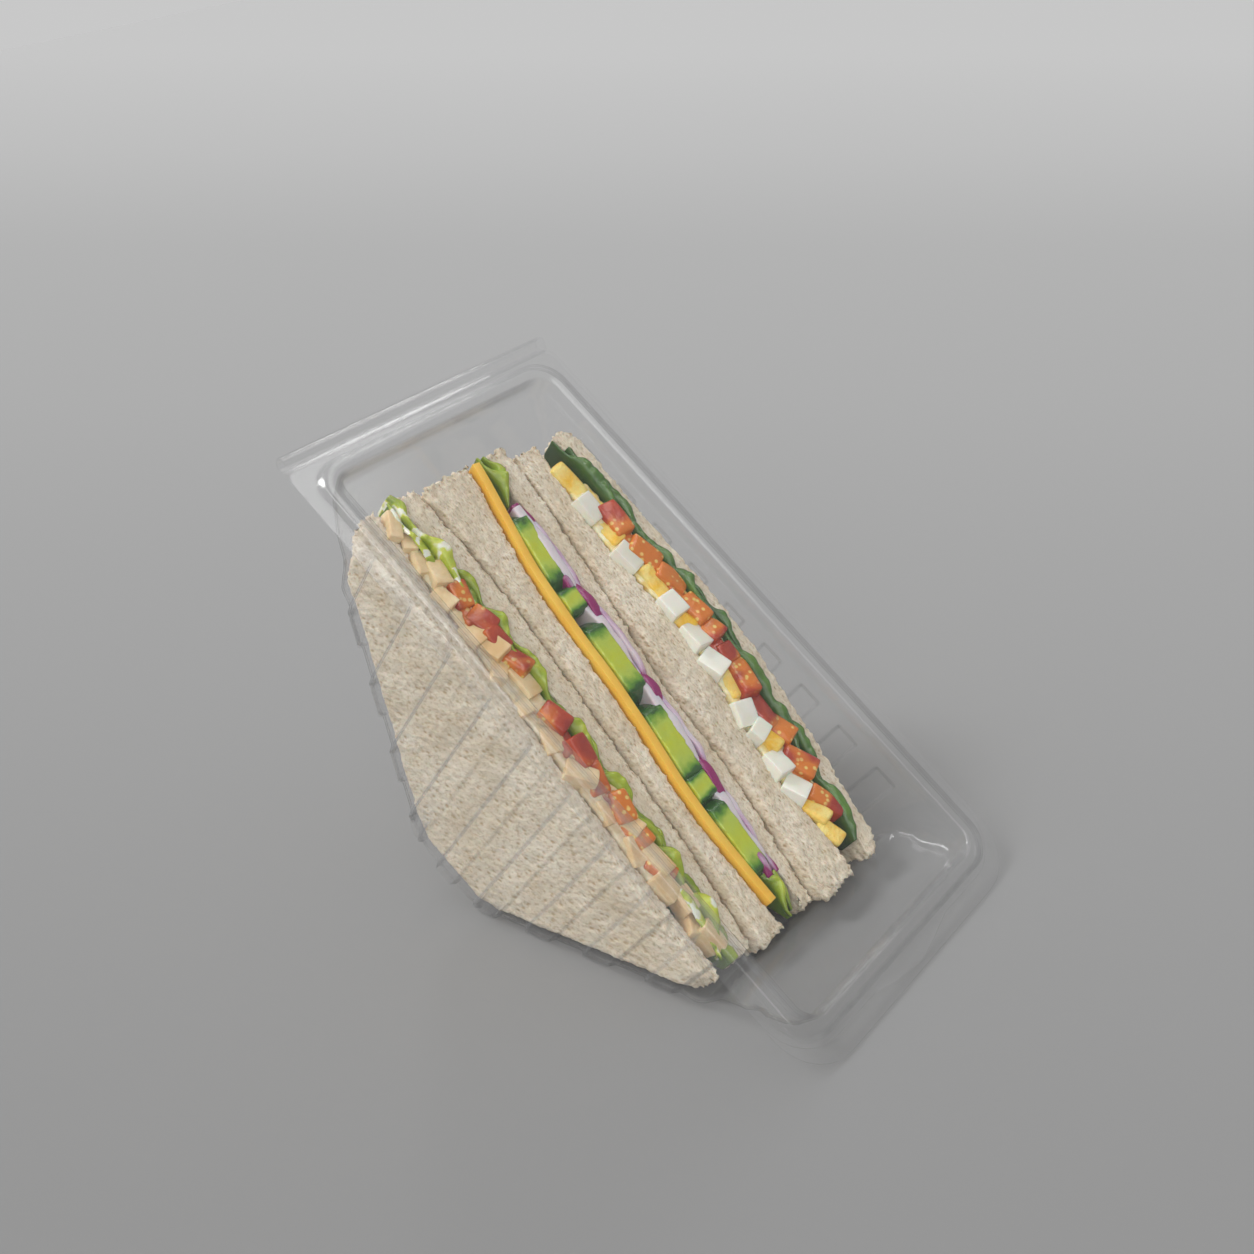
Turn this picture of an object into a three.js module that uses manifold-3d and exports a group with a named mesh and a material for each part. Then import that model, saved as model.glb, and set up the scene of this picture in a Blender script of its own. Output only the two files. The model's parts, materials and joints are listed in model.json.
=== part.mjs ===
// A hinged clear wedge pack holding three cut sandwiches, in millimetres.
//
// The pack is modelled lying mouth up: x runs from the hinge to the thumb tab, y from the near
// side wall to the far one, and z out of the mouth, with z = 0 on the top of the tub's flange.
// At the end it is stood on its front leg, which turns the mouth 45 degrees to the ground.
import * as THREE from 'three';
import { mergeVertices } from 'three/addons/utils/BufferGeometryUtils.js';
import { ConvexGeometry } from 'three/addons/geometries/ConvexGeometry.js';
import Module from 'manifold-3d';

const wasm = await Module();
wasm.setup();

// Film and clearances
const film = 0.45;
const clearance = 0.3;
const slantedInset = Math.SQRT2 - 1;

// Rim
const rimLength = 190;
const rimWidth = 93.7;
const flangeFrontRadius = 14.5;
const flangeHingeRadius = 3;
const tubFlangeSetback = 0.6;
const tubFlangeFrontSetback = 4.5;
const hingeRollLength = 4.6;
const hingeRollHeight = 1.9;
const hingeRollEndMargin = 1.2;
const hingeRollOverlap = 1;
const hingeRollKneeShare = 0.55;
const hingeRollCrownShare = 0.2;
const hingeRollCrownHeightShare = 0.8;
const hingeRollSteps = 12;

// Snap bead round the mouth
const beadInset = 4.6;
const beadEndInset = 6.8;
const beadFlank = 0.7;
const beadHeight = 1.7;
const beadRadius = 8;

// Mouth, lid panel and thumb tab
const mouthSideInset = 8.5;
const mouthEndInset = 10.2;
const mouthRadius = 6;
const panelDrop = 1.6;
const panelEdgeSlope = 0.5;
const thumbTabWidth = 23;
const thumbTabReach = 3.4;
const thumbTabFillet = 1;
const thumbTabTipShare = 0.45;

// Collar, legs and apex of the tub
const legCentre = 93.6;
const legHalfSpan = 93.75;
const sideDraft = 0.005;
const wallRadius = 2.5;
const apexRadius = 2.5;
const apexDepth = 80.4;
const apexFlat = 22;
const apexBevel = 4.4;
const collarStraight = 5;
const collarStraightDraft = 0.7;
const collarShoulder = 14;
const collarShoulderHalf = 74.9;
const collarThroat = 18.5;
const collarThroatHalf = 70.7;
const collarFoot = 27;
const collarFootHalf = 68.75;
const collarStep = 3;

// Ribs that ring the tub
const ribCount = 9;
const ribPitch = 14.7;
const ribCrest = 6;
const ribFlank = 1.1;
const ribLegHeight = 2.1;
const ribSideHeight = 1.6;
const ribTop = 6;
const ribTopSlope = 2.2;
const ribCornerBevel = 3;

// Steps round one corner of a loop
const cornerSteps = 5;

// Hollow stations along the pack, at which faces of the food are given
const foodStart = rimLength * 0.1053;
const foodEnd = rimLength * 0.8684;
const turnMargin = 0.8;
const turnSpacing = 2;

// Slices of bread and pieces of filling
const sliceSteps = 28;
const wallEdgeBevel = 2;
const endEaseLength = 4;
const endEaseDepth = 2.2;
const pieceDepth = 12;
const pieceEndDrop = 0.8;
const pieceFootDraw = 0.3;
const pieceSteps = 4;
const leafThickness = 0.7;
const leafFootRise = 0.5;
const leafStepsToWave = 8;
const bedInset = 1.5;
const bedHingeGap = 16;
const bedFrontGap = 21;
const bedSteps = 12;
const cheddarThickness = 2.6;
const cheddarRise = 0.8;
const cheddarFootRise = 1;
const cucumberRadius = 13;
const cucumberDrop = 7.6;
const cucumberShare = 0.6;
const cucumberEndRadius = 3.4;
const cucumberEndDrop = 1.5;
const hiddenCucumberDrop = 3.1 * cucumberRadius;
const onionRadius = 14;
const onionDrop = 3;
const roundSteps = 12;
const roundReach = 0.97;

// Colours, with roughness and metalness, of each finish
const finishes = {
  film: { color: 0xdfe6e8, roughness: 0.08, metalness: 0, transparent: true, opacity: 0.3 },
  bread: { color: 0xe8dfca, roughness: 0.95, metalness: 0 },
  chicken: { color: 0xd9a878, roughness: 0.7, metalness: 0 },
  tomato: { color: 0xb83a1c, roughness: 0.35, metalness: 0 },
  lettuce: { color: 0x8fae2c, roughness: 0.5, metalness: 0 },
  cheddar: { color: 0xf2a01e, roughness: 0.5, metalness: 0 },
  cucumber: { color: 0xa5b83a, roughness: 0.4, metalness: 0 },
  onion: { color: 0xa98ba6, roughness: 0.4, metalness: 0 },
  eggWhite: { color: 0xe9e7d8, roughness: 0.45, metalness: 0 },
  yolk: { color: 0xf0b23c, roughness: 0.7, metalness: 0 },
  spinach: { color: 0x2c4a1c, roughness: 0.5, metalness: 0 },
};

// Solids from geometry, and back

function solidOf(geometry) {
  const plain = geometry.clone();
  plain.deleteAttribute('normal');
  plain.deleteAttribute('uv');
  const merged = mergeVertices(plain, 1e-5);
  return new wasm.Manifold(new wasm.Mesh({
    numProp: 3,
    vertProperties: new Float32Array(merged.attributes.position.array),
    triVerts: new Uint32Array(merged.index.array),
  }));
}

function geometryOf(solid) {
  const mesh = solid.getMesh();
  const geometry = new THREE.BufferGeometry();
  geometry.setAttribute('position', new THREE.BufferAttribute(mesh.vertProperties, 3));
  geometry.setIndex(new THREE.BufferAttribute(mesh.triVerts, 1));
  geometry.computeVertexNormals();
  return geometry;
}

function indexedGeometry(positions, indices) {
  const geometry = new THREE.BufferGeometry();
  geometry.setAttribute('position', new THREE.Float32BufferAttribute(positions, 3));
  geometry.setIndex(indices);
  geometry.computeVertexNormals();
  return geometry;
}

function namedMesh(name, geometry, finish) {
  const mesh = new THREE.Mesh(geometry, new THREE.MeshStandardMaterial(finishes[finish]));
  mesh.name = name;
  return mesh;
}

// A rectangle with rounded corners at one height, anticlockwise seen from above
function roundedLoop({ hinge, front, near, far, hingeRadius, frontRadius, height }) {
  const corners = [
    { x: hinge + hingeRadius, y: near + hingeRadius, radius: hingeRadius, start: Math.PI },
    { x: front - frontRadius, y: near + frontRadius, radius: frontRadius, start: 1.5 * Math.PI },
    { x: front - frontRadius, y: far - frontRadius, radius: frontRadius, start: 0 },
    { x: hinge + hingeRadius, y: far - hingeRadius, radius: hingeRadius, start: 0.5 * Math.PI },
  ];
  const points = [];
  for (const corner of corners) {
    for (let step = 0; step <= cornerSteps; step += 1) {
      const angle = corner.start + (0.5 * Math.PI * step) / cornerSteps;
      points.push(new THREE.Vector3(
        corner.x + corner.radius * Math.cos(angle),
        corner.y + corner.radius * Math.sin(angle),
        height,
      ));
    }
  }
  return points;
}

// A closed solid whose skin runs through the loops, closed by the first and the last of them
function skinThrough(loops) {
  const count = loops[0].length;
  const positions = loops.flatMap((loop) => loop.flatMap((point) => point.toArray()));
  const indices = [];
  const last = (loops.length - 1) * count;
  for (let corner = 1; corner < count - 1; corner += 1) {
    indices.push(0, corner + 1, corner);
    indices.push(last, last + corner, last + corner + 1);
  }
  for (let row = 0; row < loops.length - 1; row += 1) {
    for (let corner = 0; corner < count; corner += 1) {
      const next = (corner + 1) % count;
      const lower = row * count;
      const upper = lower + count;
      indices.push(lower + corner, lower + next, upper + next);
      indices.push(lower + corner, upper + next, upper + corner);
    }
  }
  return indexedGeometry(positions, indices);
}

// Tub

// Stations of the hollow from the mouth down to the apex, as x at the hinge and at the front
const hollowStations = [
  { height: beadHeight, hinge: mouthEndInset, front: rimLength - mouthEndInset },
  { height: 0, hinge: mouthEndInset, front: rimLength - mouthEndInset },
  {
    height: -collarStraight,
    hinge: mouthEndInset + collarStraightDraft,
    front: rimLength - mouthEndInset - collarStraightDraft,
  },
  { height: -collarShoulder, ...halvesAt(collarShoulderHalf) },
  { height: -collarThroat, ...halvesAt(collarThroatHalf) },
  { height: -collarFoot, ...halvesAt(collarFootHalf) },
  { height: -collarFoot - collarStep, ...halvesAt(legHalfSpan - collarFoot - collarStep) },
  { height: -apexDepth + apexBevel, ...halvesAt(legHalfSpan - apexDepth + apexBevel) },
  { height: -apexDepth, ...halvesAt(apexFlat / 2) },
];

function halvesAt(half) {
  return { hinge: legCentre - half, front: legCentre + half };
}

// How far a station rises when the wall is moved in: fully at the floor, less on a slant
function stationRise(station, inset) {
  return station.height === -apexDepth ? inset : inset * slantedInset;
}

// Loop of the tub's wall at one station, moved in by the inset
function wallLoop(station, inset) {
  const rise = stationRise(station, inset);
  const radius = station.height < -collarStep - collarFoot ? apexRadius : wallRadius;
  const corner = station.height > -collarStraight ? mouthRadius : radius;
  const side = mouthSideInset - sideDraft * Math.min(station.height, 0) + inset;
  return roundedLoop({
    hinge: station.hinge + inset,
    front: station.front - inset,
    near: side,
    far: rimWidth - side,
    hingeRadius: corner - inset,
    frontRadius: corner - inset,
    height: station.height > -collarStraight ? station.height : station.height + rise,
  });
}

// Loop of the rim a given way in from the edge, on the sides and on the ends
function rimLoop({ side, hinge, front, hingeRadius, frontRadius, height }) {
  return roundedLoop({
    hinge,
    front: rimLength - front,
    near: side,
    far: rimWidth - side,
    hingeRadius,
    frontRadius,
    height,
  });
}

// Height of the tub's floor under a point of the pack, grown outwards by the ribs' height
function floorAt(x, outward) {
  const slant = outward * Math.SQRT2;
  return Math.max(
    -(x - legCentre + legHalfSpan) - slant,
    x - legCentre - legHalfSpan - slant,
    -apexDepth - outward,
  );
}

// One rib, as the solid hull that it adds outside the wall
function ribHull(centre, inset) {
  const points = [];
  const crestHalf = ribCrest / 2 - inset * slantedInset;
  const rootHalf = ribCrest / 2 + ribFlank - inset * slantedInset;
  const stations = [
    { x: -rootHalf, rise: 0 },
    { x: -crestHalf, rise: 1 },
    { x: 0, rise: 1 },
    { x: crestHalf, rise: 1 },
    { x: rootHalf, rise: 0 },
  ];
  for (const { x, rise } of stations) {
    const floor = floorAt(centre + x, ribLegHeight * rise - inset);
    const top = -ribTop - ribTopSlope * rise - inset;
    const topSide = mouthSideInset - sideDraft * top + inset - ribSideHeight * rise;
    const lowSide = mouthSideInset - sideDraft * floor + inset - ribSideHeight * rise;
    for (const mirror of [1, -1]) {
      const mirrored = (side) => rimWidth / 2 + mirror * (side - rimWidth / 2);
      points.push(new THREE.Vector3(centre + x, mirrored(topSide), top));
      points.push(new THREE.Vector3(centre + x, mirrored(lowSide), floor + ribCornerBevel));
      points.push(new THREE.Vector3(centre + x, mirrored(lowSide + ribCornerBevel), floor));
    }
  }
  return solidOf(new ConvexGeometry(points));
}

function ribCentres() {
  const first = legCentre - ((ribCount - 1) / 2) * ribPitch;
  return Array.from({ length: ribCount }, (_, rib) => first + rib * ribPitch);
}

// Half of the film roll that joins tub and lid at the hinge: side -1 is the tub's, 1 the lid's
function hingeRoll(side) {
  const middle = clearance / 2;
  const root = middle + (side * (clearance + film)) / 2;
  const knee = middle + side * hingeRollHeight;
  const crown = middle + side * hingeRollHeight * hingeRollCrownHeightShare;
  const path = new THREE.CatmullRomCurve3([
    new THREE.Vector3(hingeRollLength + hingeRollOverlap, root, 0),
    new THREE.Vector3(hingeRollLength, root, 0),
    new THREE.Vector3(hingeRollLength * hingeRollKneeShare, knee, 0),
    new THREE.Vector3(hingeRollLength * hingeRollCrownShare, crown, 0),
    new THREE.Vector3(film / 2, middle + (side * clearance) / 2, 0),
  ]);
  const centres = path.getPoints(hingeRollSteps);
  const outline = [];
  for (const direction of [1, -1]) {
    const ordered = direction === 1 ? centres : [...centres].reverse();
    for (const point of ordered) {
      const at = centres.indexOf(point);
      const before = centres[Math.max(at - 1, 0)];
      const after = centres[Math.min(at + 1, centres.length - 1)];
      const along = after.clone().sub(before).normalize();
      outline.push(new THREE.Vector2(
        point.x - (direction * along.y * film) / 2,
        point.y + (direction * along.x * film) / 2,
      ));
    }
  }
  const width = rimWidth - 2 * hingeRollEndMargin;
  const section = new THREE.Shape(outline);
  const roll = new THREE.ExtrudeGeometry(section, { depth: width, bevelEnabled: false });
  roll.rotateX(Math.PI / 2);
  roll.translate(0, rimWidth - hingeRollEndMargin, 0);
  return solidOf(roll);
}

// Tab at the front of the tub's flange, for a thumb to hold while the lid is pulled up
function thumbTab() {
  const root = rimLength - tubFlangeFrontSetback - thumbTabFillet;
  const tip = rimLength - tubFlangeFrontSetback + thumbTabReach;
  const middle = rimWidth / 2;
  const rootHalf = thumbTabWidth / 2 + thumbTabFillet;
  const tipHalf = (thumbTabWidth / 2) * thumbTabTipShare;
  const outline = new THREE.Shape([
    new THREE.Vector2(root, middle - rootHalf),
    new THREE.Vector2(tip - thumbTabFillet, middle - tipHalf),
    new THREE.Vector2(tip, middle),
    new THREE.Vector2(tip - thumbTabFillet, middle + tipHalf),
    new THREE.Vector2(root, middle + rootHalf),
  ]);
  const plate = new THREE.ExtrudeGeometry(outline, { depth: film, bevelEnabled: false });
  plate.translate(0, 0, -film);
  return solidOf(plate);
}

function makeTub() {
  const flange = {
    side: tubFlangeSetback,
    hinge: hingeRollLength,
    front: tubFlangeFrontSetback,
    hingeRadius: flangeHingeRadius,
    frontRadius: flangeFrontRadius - tubFlangeSetback,
  };
  const beadFoot = {
    side: beadInset,
    hinge: beadEndInset,
    front: beadEndInset,
    hingeRadius: beadRadius,
    frontRadius: beadRadius,
  };
  const beadCrest = { ...beadFoot };
  beadCrest.side += beadFlank;
  beadCrest.hinge += beadFlank;
  beadCrest.front += beadFlank;
  const underFoot = { ...beadFoot };
  underFoot.side += film * slantedInset;
  underFoot.hinge += film * slantedInset;
  underFoot.front += film * slantedInset;
  const underCrest = { ...beadCrest };
  underCrest.side += film;
  underCrest.hinge += film;
  underCrest.front += film;
  const wall = [...hollowStations].reverse();
  const mouth = wall.pop();
  const outside = skinThrough([
    ...wall.map((station) => wallLoop(station, 0)),
    wallLoop({ ...mouth, height: beadHeight - film }, 0),
    rimLoop({ ...underCrest, height: beadHeight - film }),
    rimLoop({ ...underFoot, height: -film }),
    rimLoop({ ...flange, height: -film }),
    rimLoop({ ...flange, height: 0 }),
    rimLoop({ ...beadFoot, height: 0 }),
    rimLoop({ ...beadCrest, height: beadHeight }),
  ]);
  const above = { ...mouth, height: beadHeight + 1 };
  const inside = skinThrough([...wall, mouth, above].map((station) => wallLoop(station, film)));
  let outer = solidOf(outside).add(hingeRoll(-1)).add(thumbTab());
  let inner = solidOf(inside);
  for (const centre of ribCentres()) {
    outer = outer.add(ribHull(centre, 0));
    inner = inner.add(ribHull(centre, film));
  }
  return geometryOf(outer.subtract(inner));
}

// Lid

function makeLid() {
  const flange = {
    side: 0,
    hinge: hingeRollLength,
    front: 0,
    hingeRadius: flangeHingeRadius,
    frontRadius: flangeFrontRadius,
  };
  const plugSide = mouthSideInset + film + clearance;
  const plugEnd = mouthEndInset + film + clearance;
  const inwards = (loop, by) => ({
    ...loop,
    side: loop.side + by,
    hinge: loop.hinge + by,
    front: loop.front + by,
  });
  const beadFoot = {
    side: beadInset - clearance - film * slantedInset,
    hinge: beadEndInset - clearance - film * slantedInset,
    front: beadEndInset - clearance - film * slantedInset,
    hingeRadius: beadRadius,
    frontRadius: beadRadius,
  };
  const beadCrest = inwards(beadFoot, beadFlank);
  const plugRadius = mouthRadius - film - clearance;
  const plug = {
    side: plugSide,
    hinge: plugEnd,
    front: plugEnd,
    hingeRadius: plugRadius,
    frontRadius: plugRadius,
  };
  const underside = clearance;
  const beadUnder = beadHeight + clearance;
  const panelUnder = -panelDrop - film;
  return skinThrough([
    rimLoop({ ...inwards(plug, panelEdgeSlope), height: panelUnder }),
    rimLoop({ ...plug, height: panelUnder + panelEdgeSlope }),
    rimLoop({ ...plug, height: beadUnder }),
    rimLoop({ ...inwards(beadCrest, film * slantedInset), height: beadUnder }),
    rimLoop({ ...inwards(beadFoot, film * slantedInset), height: underside }),
    rimLoop({ ...flange, height: underside }),
    rimLoop({ ...flange, height: underside + film }),
    rimLoop({ ...beadFoot, height: underside + film }),
    rimLoop({ ...beadCrest, height: beadUnder + film }),
    rimLoop({ ...inwards(plug, film), height: beadUnder + film }),
    rimLoop({ ...inwards(plug, film), height: panelUnder + film + panelEdgeSlope }),
    rimLoop({ ...inwards(plug, film + panelEdgeSlope), height: panelUnder + film }),
  ]);
}

// Food

// Places in the hollow: shares of the rim's length, of the depth under the rim and of the
// room between the side walls
const nearWallFace = mouthSideInset + film + clearance + sideDraft * apexDepth;
const farWallFace = rimWidth - nearWallFace;

function lengthwise(share) {
  return share * rimLength;
}

function under(shares) {
  return along(shares.map((share) => -share * apexDepth));
}

function across(shares) {
  return along(shares.map((share) => THREE.MathUtils.lerp(nearWallFace, farWallFace, share)));
}

// A smooth value along the pack through five values, evenly spaced from foodStart to foodEnd
function along(values) {
  const spacing = (foodEnd - foodStart) / (values.length - 1);
  return (x) => {
    const place = THREE.MathUtils.clamp((x - foodStart) / spacing, 0, values.length - 1);
    const at = Math.min(Math.floor(place), values.length - 2);
    const t = place - at;
    const before = values[Math.max(at - 1, 0)];
    const start = values[at];
    const end = values[at + 1];
    const after = values[Math.min(at + 2, values.length - 1)];
    const startSlope = (end - before) / 2;
    const endSlope = (after - start) / 2;
    const rise = end - start;
    return start + t * (startSlope + t * (3 * rise - 2 * startSlope - endSlope
      + t * (startSlope + endSlope - 2 * rise)));
  };
}

// Even stations from one end to the other, with those at which the seat turns added
function stationsBetween(from, to, steps) {
  const inset = film + clearance;
  const turns = hollowStations.flatMap(({ hinge, front }) => [hinge + inset, front - inset]);
  const even = Array.from({ length: steps + 1 }, (_, step) => from + ((to - from) * step) / steps);
  const spacing = (to - from) / steps;
  const inside = turns.filter((x) => x > from && x < to && spacing > turnSpacing);
  const all = [...even.filter((x, step) => step === 0 || step === steps
    || inside.every((turn) => Math.abs(turn - x) > turnMargin)), ...new Set(inside)];
  return all.sort((a, b) => a - b);
}

// A solid made of upright sections along the pack: each face is a function of x, and the
// edges under the near and the far face may be cut off
function loft(from, to, steps, { near, far, top, bottom, nearBevel = 0, farBevel = 0 }) {
  const positions = [];
  const indices = [];
  const corners = 4 + (nearBevel > 0 ? 1 : 0) + (farBevel > 0 ? 1 : 0);
  const stations = stationsBetween(from, to, steps);
  const sections = stations.length - 1;
  for (const [step, x] of stations.entries()) {
    positions.push(x, near(x) + nearBevel, bottom(x), x, far(x) - farBevel, bottom(x));
    if (farBevel > 0) {
      positions.push(x, far(x), bottom(x) + farBevel);
    }
    positions.push(x, far(x), top(x), x, near(x), top(x));
    if (nearBevel > 0) {
      positions.push(x, near(x), bottom(x) + nearBevel);
    }
    if (step < sections) {
      for (let side = 0; side < corners; side += 1) {
        const here = step * corners + side;
        const next = step * corners + ((side + 1) % corners);
        indices.push(here, next, next + corners, here, next + corners, here + corners);
      }
    }
  }
  const end = sections * corners;
  for (let corner = 1; corner < corners - 1; corner += 1) {
    indices.push(0, corner + 1, corner, end, end + corner, end + corner + 1);
  }
  return indexedGeometry(positions, indices);
}

// Lowest that food can lie at x: the inside of the hollow and the clearance
function seatAt(x) {
  const inset = film + clearance;
  const side = hollowStations.map((station) => [
    (x < legCentre ? station.hinge : -station.front) + inset,
    station.height + stationRise(station, inset),
  ]);
  const reach = x < legCentre ? x : -x;
  for (let station = 1; station < side.length; station += 1) {
    const [outerPlace, outerHeight] = side[station - 1];
    const [innerPlace, innerHeight] = side[station];
    if (reach <= innerPlace && innerPlace > outerPlace) {
      const share = (reach - outerPlace) / (innerPlace - outerPlace);
      return THREE.MathUtils.lerp(outerHeight, innerHeight, share);
    }
  }
  return -apexDepth + inset;
}

// The three sandwiches, by their two slices and the height of the cut that shows in the mouth.
// Each face lies across the pack at five stations from the hinge end to the front end.
const chickenSandwich = {
  start: lengthwise(0.1079),
  end: lengthwise(0.8421),
  cut: under([0.056, 0.107, 0.1542, 0.204, 0.2488]),
  nearFar: across([0.0988, 0.08, 0.0665, 0.0652, 0.0719]),
  farNear: across([0.174, 0.2117, 0.2036, 0.1848, 0.1445]),
  farFar: across([0.2843, 0.3138, 0.2977, 0.2789, 0.2359]),
};
const cheddarSandwich = {
  start: lengthwise(0.1132),
  end: lengthwise(0.8553),
  cut: under([0.0435, 0.0833, 0.1231, 0.1716, 0.2139]),
  nearFar: across([0.5101, 0.4214, 0.3891, 0.3461, 0.3595]),
  farNear: across([0.5907, 0.5719, 0.5531, 0.5101, 0.4617]),
  farFar: across([0.6929, 0.6606, 0.5988, 0.5827, 0.5235]),
};
const eggSandwich = {
  start: lengthwise(0.1342),
  end: lengthwise(0.8684),
  cut: under([0.0435, 0.0697, 0.0821, 0.1443, 0.1667]),
  nearFar: across([0.8219, 0.7682, 0.7682, 0.7198, 0.7117]),
  farNear: across([0.8918, 0.9241, 0.9295, 0.8864, 0.7897]),
  farFar: across([1, 1, 1, 0.9725, 0.8784]),
};

function shifted(face, by) {
  return (x) => face(x) + by;
}

function between(near, far, share) {
  return (x) => THREE.MathUtils.lerp(near(x), far(x), share);
}

// How far a slice against a side wall draws in at its two ends, clear of the rounded corners
function endEase(sandwich) {
  return (x) => {
    const toEnd = Math.min(x - sandwich.start, sandwich.end - x);
    return endEaseDepth * (1 - THREE.MathUtils.clamp(toEnd / endEaseLength, 0, 1));
  };
}

function breadSlice(name, sandwich, near, far, bevels = {}) {
  const shape = { near, far, top: sandwich.cut, bottom: seatAt, ...bevels };
  return namedMesh(name, loft(sandwich.start, sandwich.end, sliceSteps, shape), 'bread');
}

// One layer of the filling, between two shares of the room that the slices leave
function layerOf(sandwich, fromShare, toShare) {
  const near = shifted(sandwich.nearFar, clearance / 2);
  const far = shifted(sandwich.farNear, -clearance / 2);
  return {
    near: shifted(between(near, far, fromShare), clearance / 2),
    far: shifted(between(near, far, toShare), -clearance / 2),
  };
}

// A cut piece of filling that shows in the mouth, a little narrower at its ends and foot
function cutPiece(sandwich, layer, from, to, rise) {
  const middle = (from + to) / 2;
  const half = (to - from) / 2;
  const edge = (x) => ((x - middle) / half) ** 4;
  return loft(from, to, pieceSteps, {
    near: layer.near,
    far: layer.far,
    top: (x) => sandwich.cut(x) + rise - pieceEndDrop * edge(x),
    bottom: (x) => Math.max(sandwich.cut(x) - pieceDepth * (1 - pieceFootDraw * edge(x)), seatAt(x)),
  });
}

// A row of pieces side by side along the cut
function rowOfPieces({ name, finish, sandwich, layer, from, to, count, rise }) {
  const pitch = (to - from) / count;
  return Array.from({ length: count }, (_, piece) => {
    const start = from + piece * pitch;
    const end = start + pitch - clearance;
    const lift = rise * (0.6 + 0.4 * Math.cos(piece * 2.4));
    return namedMesh(`${name}_${piece + 1}`, cutPiece(sandwich, layer, start, end, lift), finish);
  });
}

// A leaf that stands in the filling, its face waving between the layer's two faces
function leaf(name, finish, sandwich, layer, { from, to, rise, depth, waves }) {
  const room = (x) => (layer.far(x) - layer.near(x) - leafThickness) / 2;
  const phase = (x) => (2 * Math.PI * waves * (x - from)) / (to - from);
  const middle = (x) => layer.near(x) + room(x) * (1 + Math.sin(phase(x)));
  const shape = {
    near: middle,
    far: shifted(middle, leafThickness),
    top: (x) => sandwich.cut(x) + rise * (0.7 + 0.3 * Math.cos(phase(x) * 1.3)),
    bottom: (x) => Math.max(sandwich.cut(x) - depth, seatAt(x) + leafFootRise),
  };
  return namedMesh(name, loft(from, to, waves * leafStepsToWave, shape), finish);
}

// The mixed filling below the pieces that show, down to the crust-free edges of the bread
function fillingBed(name, finish, sandwich, toShare) {
  const layer = layerOf(sandwich, 0, toShare);
  const shape = {
    ...layer,
    top: (x) => sandwich.cut(x) - pieceDepth - clearance,
    bottom: (x) => seatAt(x) + bedInset,
  };
  const from = sandwich.start + bedHingeGap;
  const to = sandwich.end - bedFrontGap;
  return namedMesh(name, loft(from, to, bedSteps, shape), finish);
}

// A round slice, cut off level with the sandwich where it stands proud of it
function roundSlice({ centre, drop, radius, near, far, cut }) {
  const height = cut(centre) - drop;
  const arc = (x) => Math.sqrt(Math.max(radius ** 2 - (x - centre) ** 2, 0));
  const chord = Math.sqrt(Math.max(radius ** 2 - drop ** 2, 0));
  const reach = drop < radius ? chord : radius * roundReach;
  return loft(centre - reach, centre + reach, roundSteps, {
    near,
    far,
    top: (x) => Math.min(height + arc(x), cut(x)),
    bottom: (x) => height - arc(x),
  });
}

function makeChickenSandwich() {
  const sandwich = chickenSandwich;
  const chicken = layerOf(sandwich, 0, 0.48);
  const tomato = layerOf(sandwich, 0.48, 0.8);
  const lettuce = layerOf(sandwich, 0.8, 1);
  const ease = endEase(sandwich);
  const nearFace = (x) => nearWallFace + ease(x);
  return [
    breadSlice('bread_chicken_near', sandwich, nearFace, sandwich.nearFar, {
      nearBevel: wallEdgeBevel,
    }),
    breadSlice('bread_chicken_far', sandwich, sandwich.farNear, sandwich.farFar),
    ...rowOfPieces({
      name: 'chicken_piece',
      finish: 'chicken',
      sandwich,
      layer: chicken,
      from: lengthwise(0.1421),
      to: lengthwise(0.7895),
      count: 8,
      rise: 1.4,
    }),
    ...rowOfPieces({
      name: 'tomato_chicken_piece',
      finish: 'tomato',
      sandwich,
      layer: tomato,
      from: lengthwise(0.2421),
      to: lengthwise(0.7158),
      count: 5,
      rise: 1.2,
    }),
    leaf('lettuce_leaf_1', 'lettuce', sandwich, lettuce, {
      from: lengthwise(0.1105),
      to: lengthwise(0.4684),
      rise: 2,
      depth: 26,
      waves: 5,
    }),
    leaf('lettuce_leaf_2', 'lettuce', sandwich, lettuce, {
      from: lengthwise(0.4737),
      to: lengthwise(0.8316),
      rise: 2,
      depth: 24,
      waves: 5,
    }),
    fillingBed('chicken_filling', 'chicken', sandwich, 0.8),
  ];
}

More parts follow.
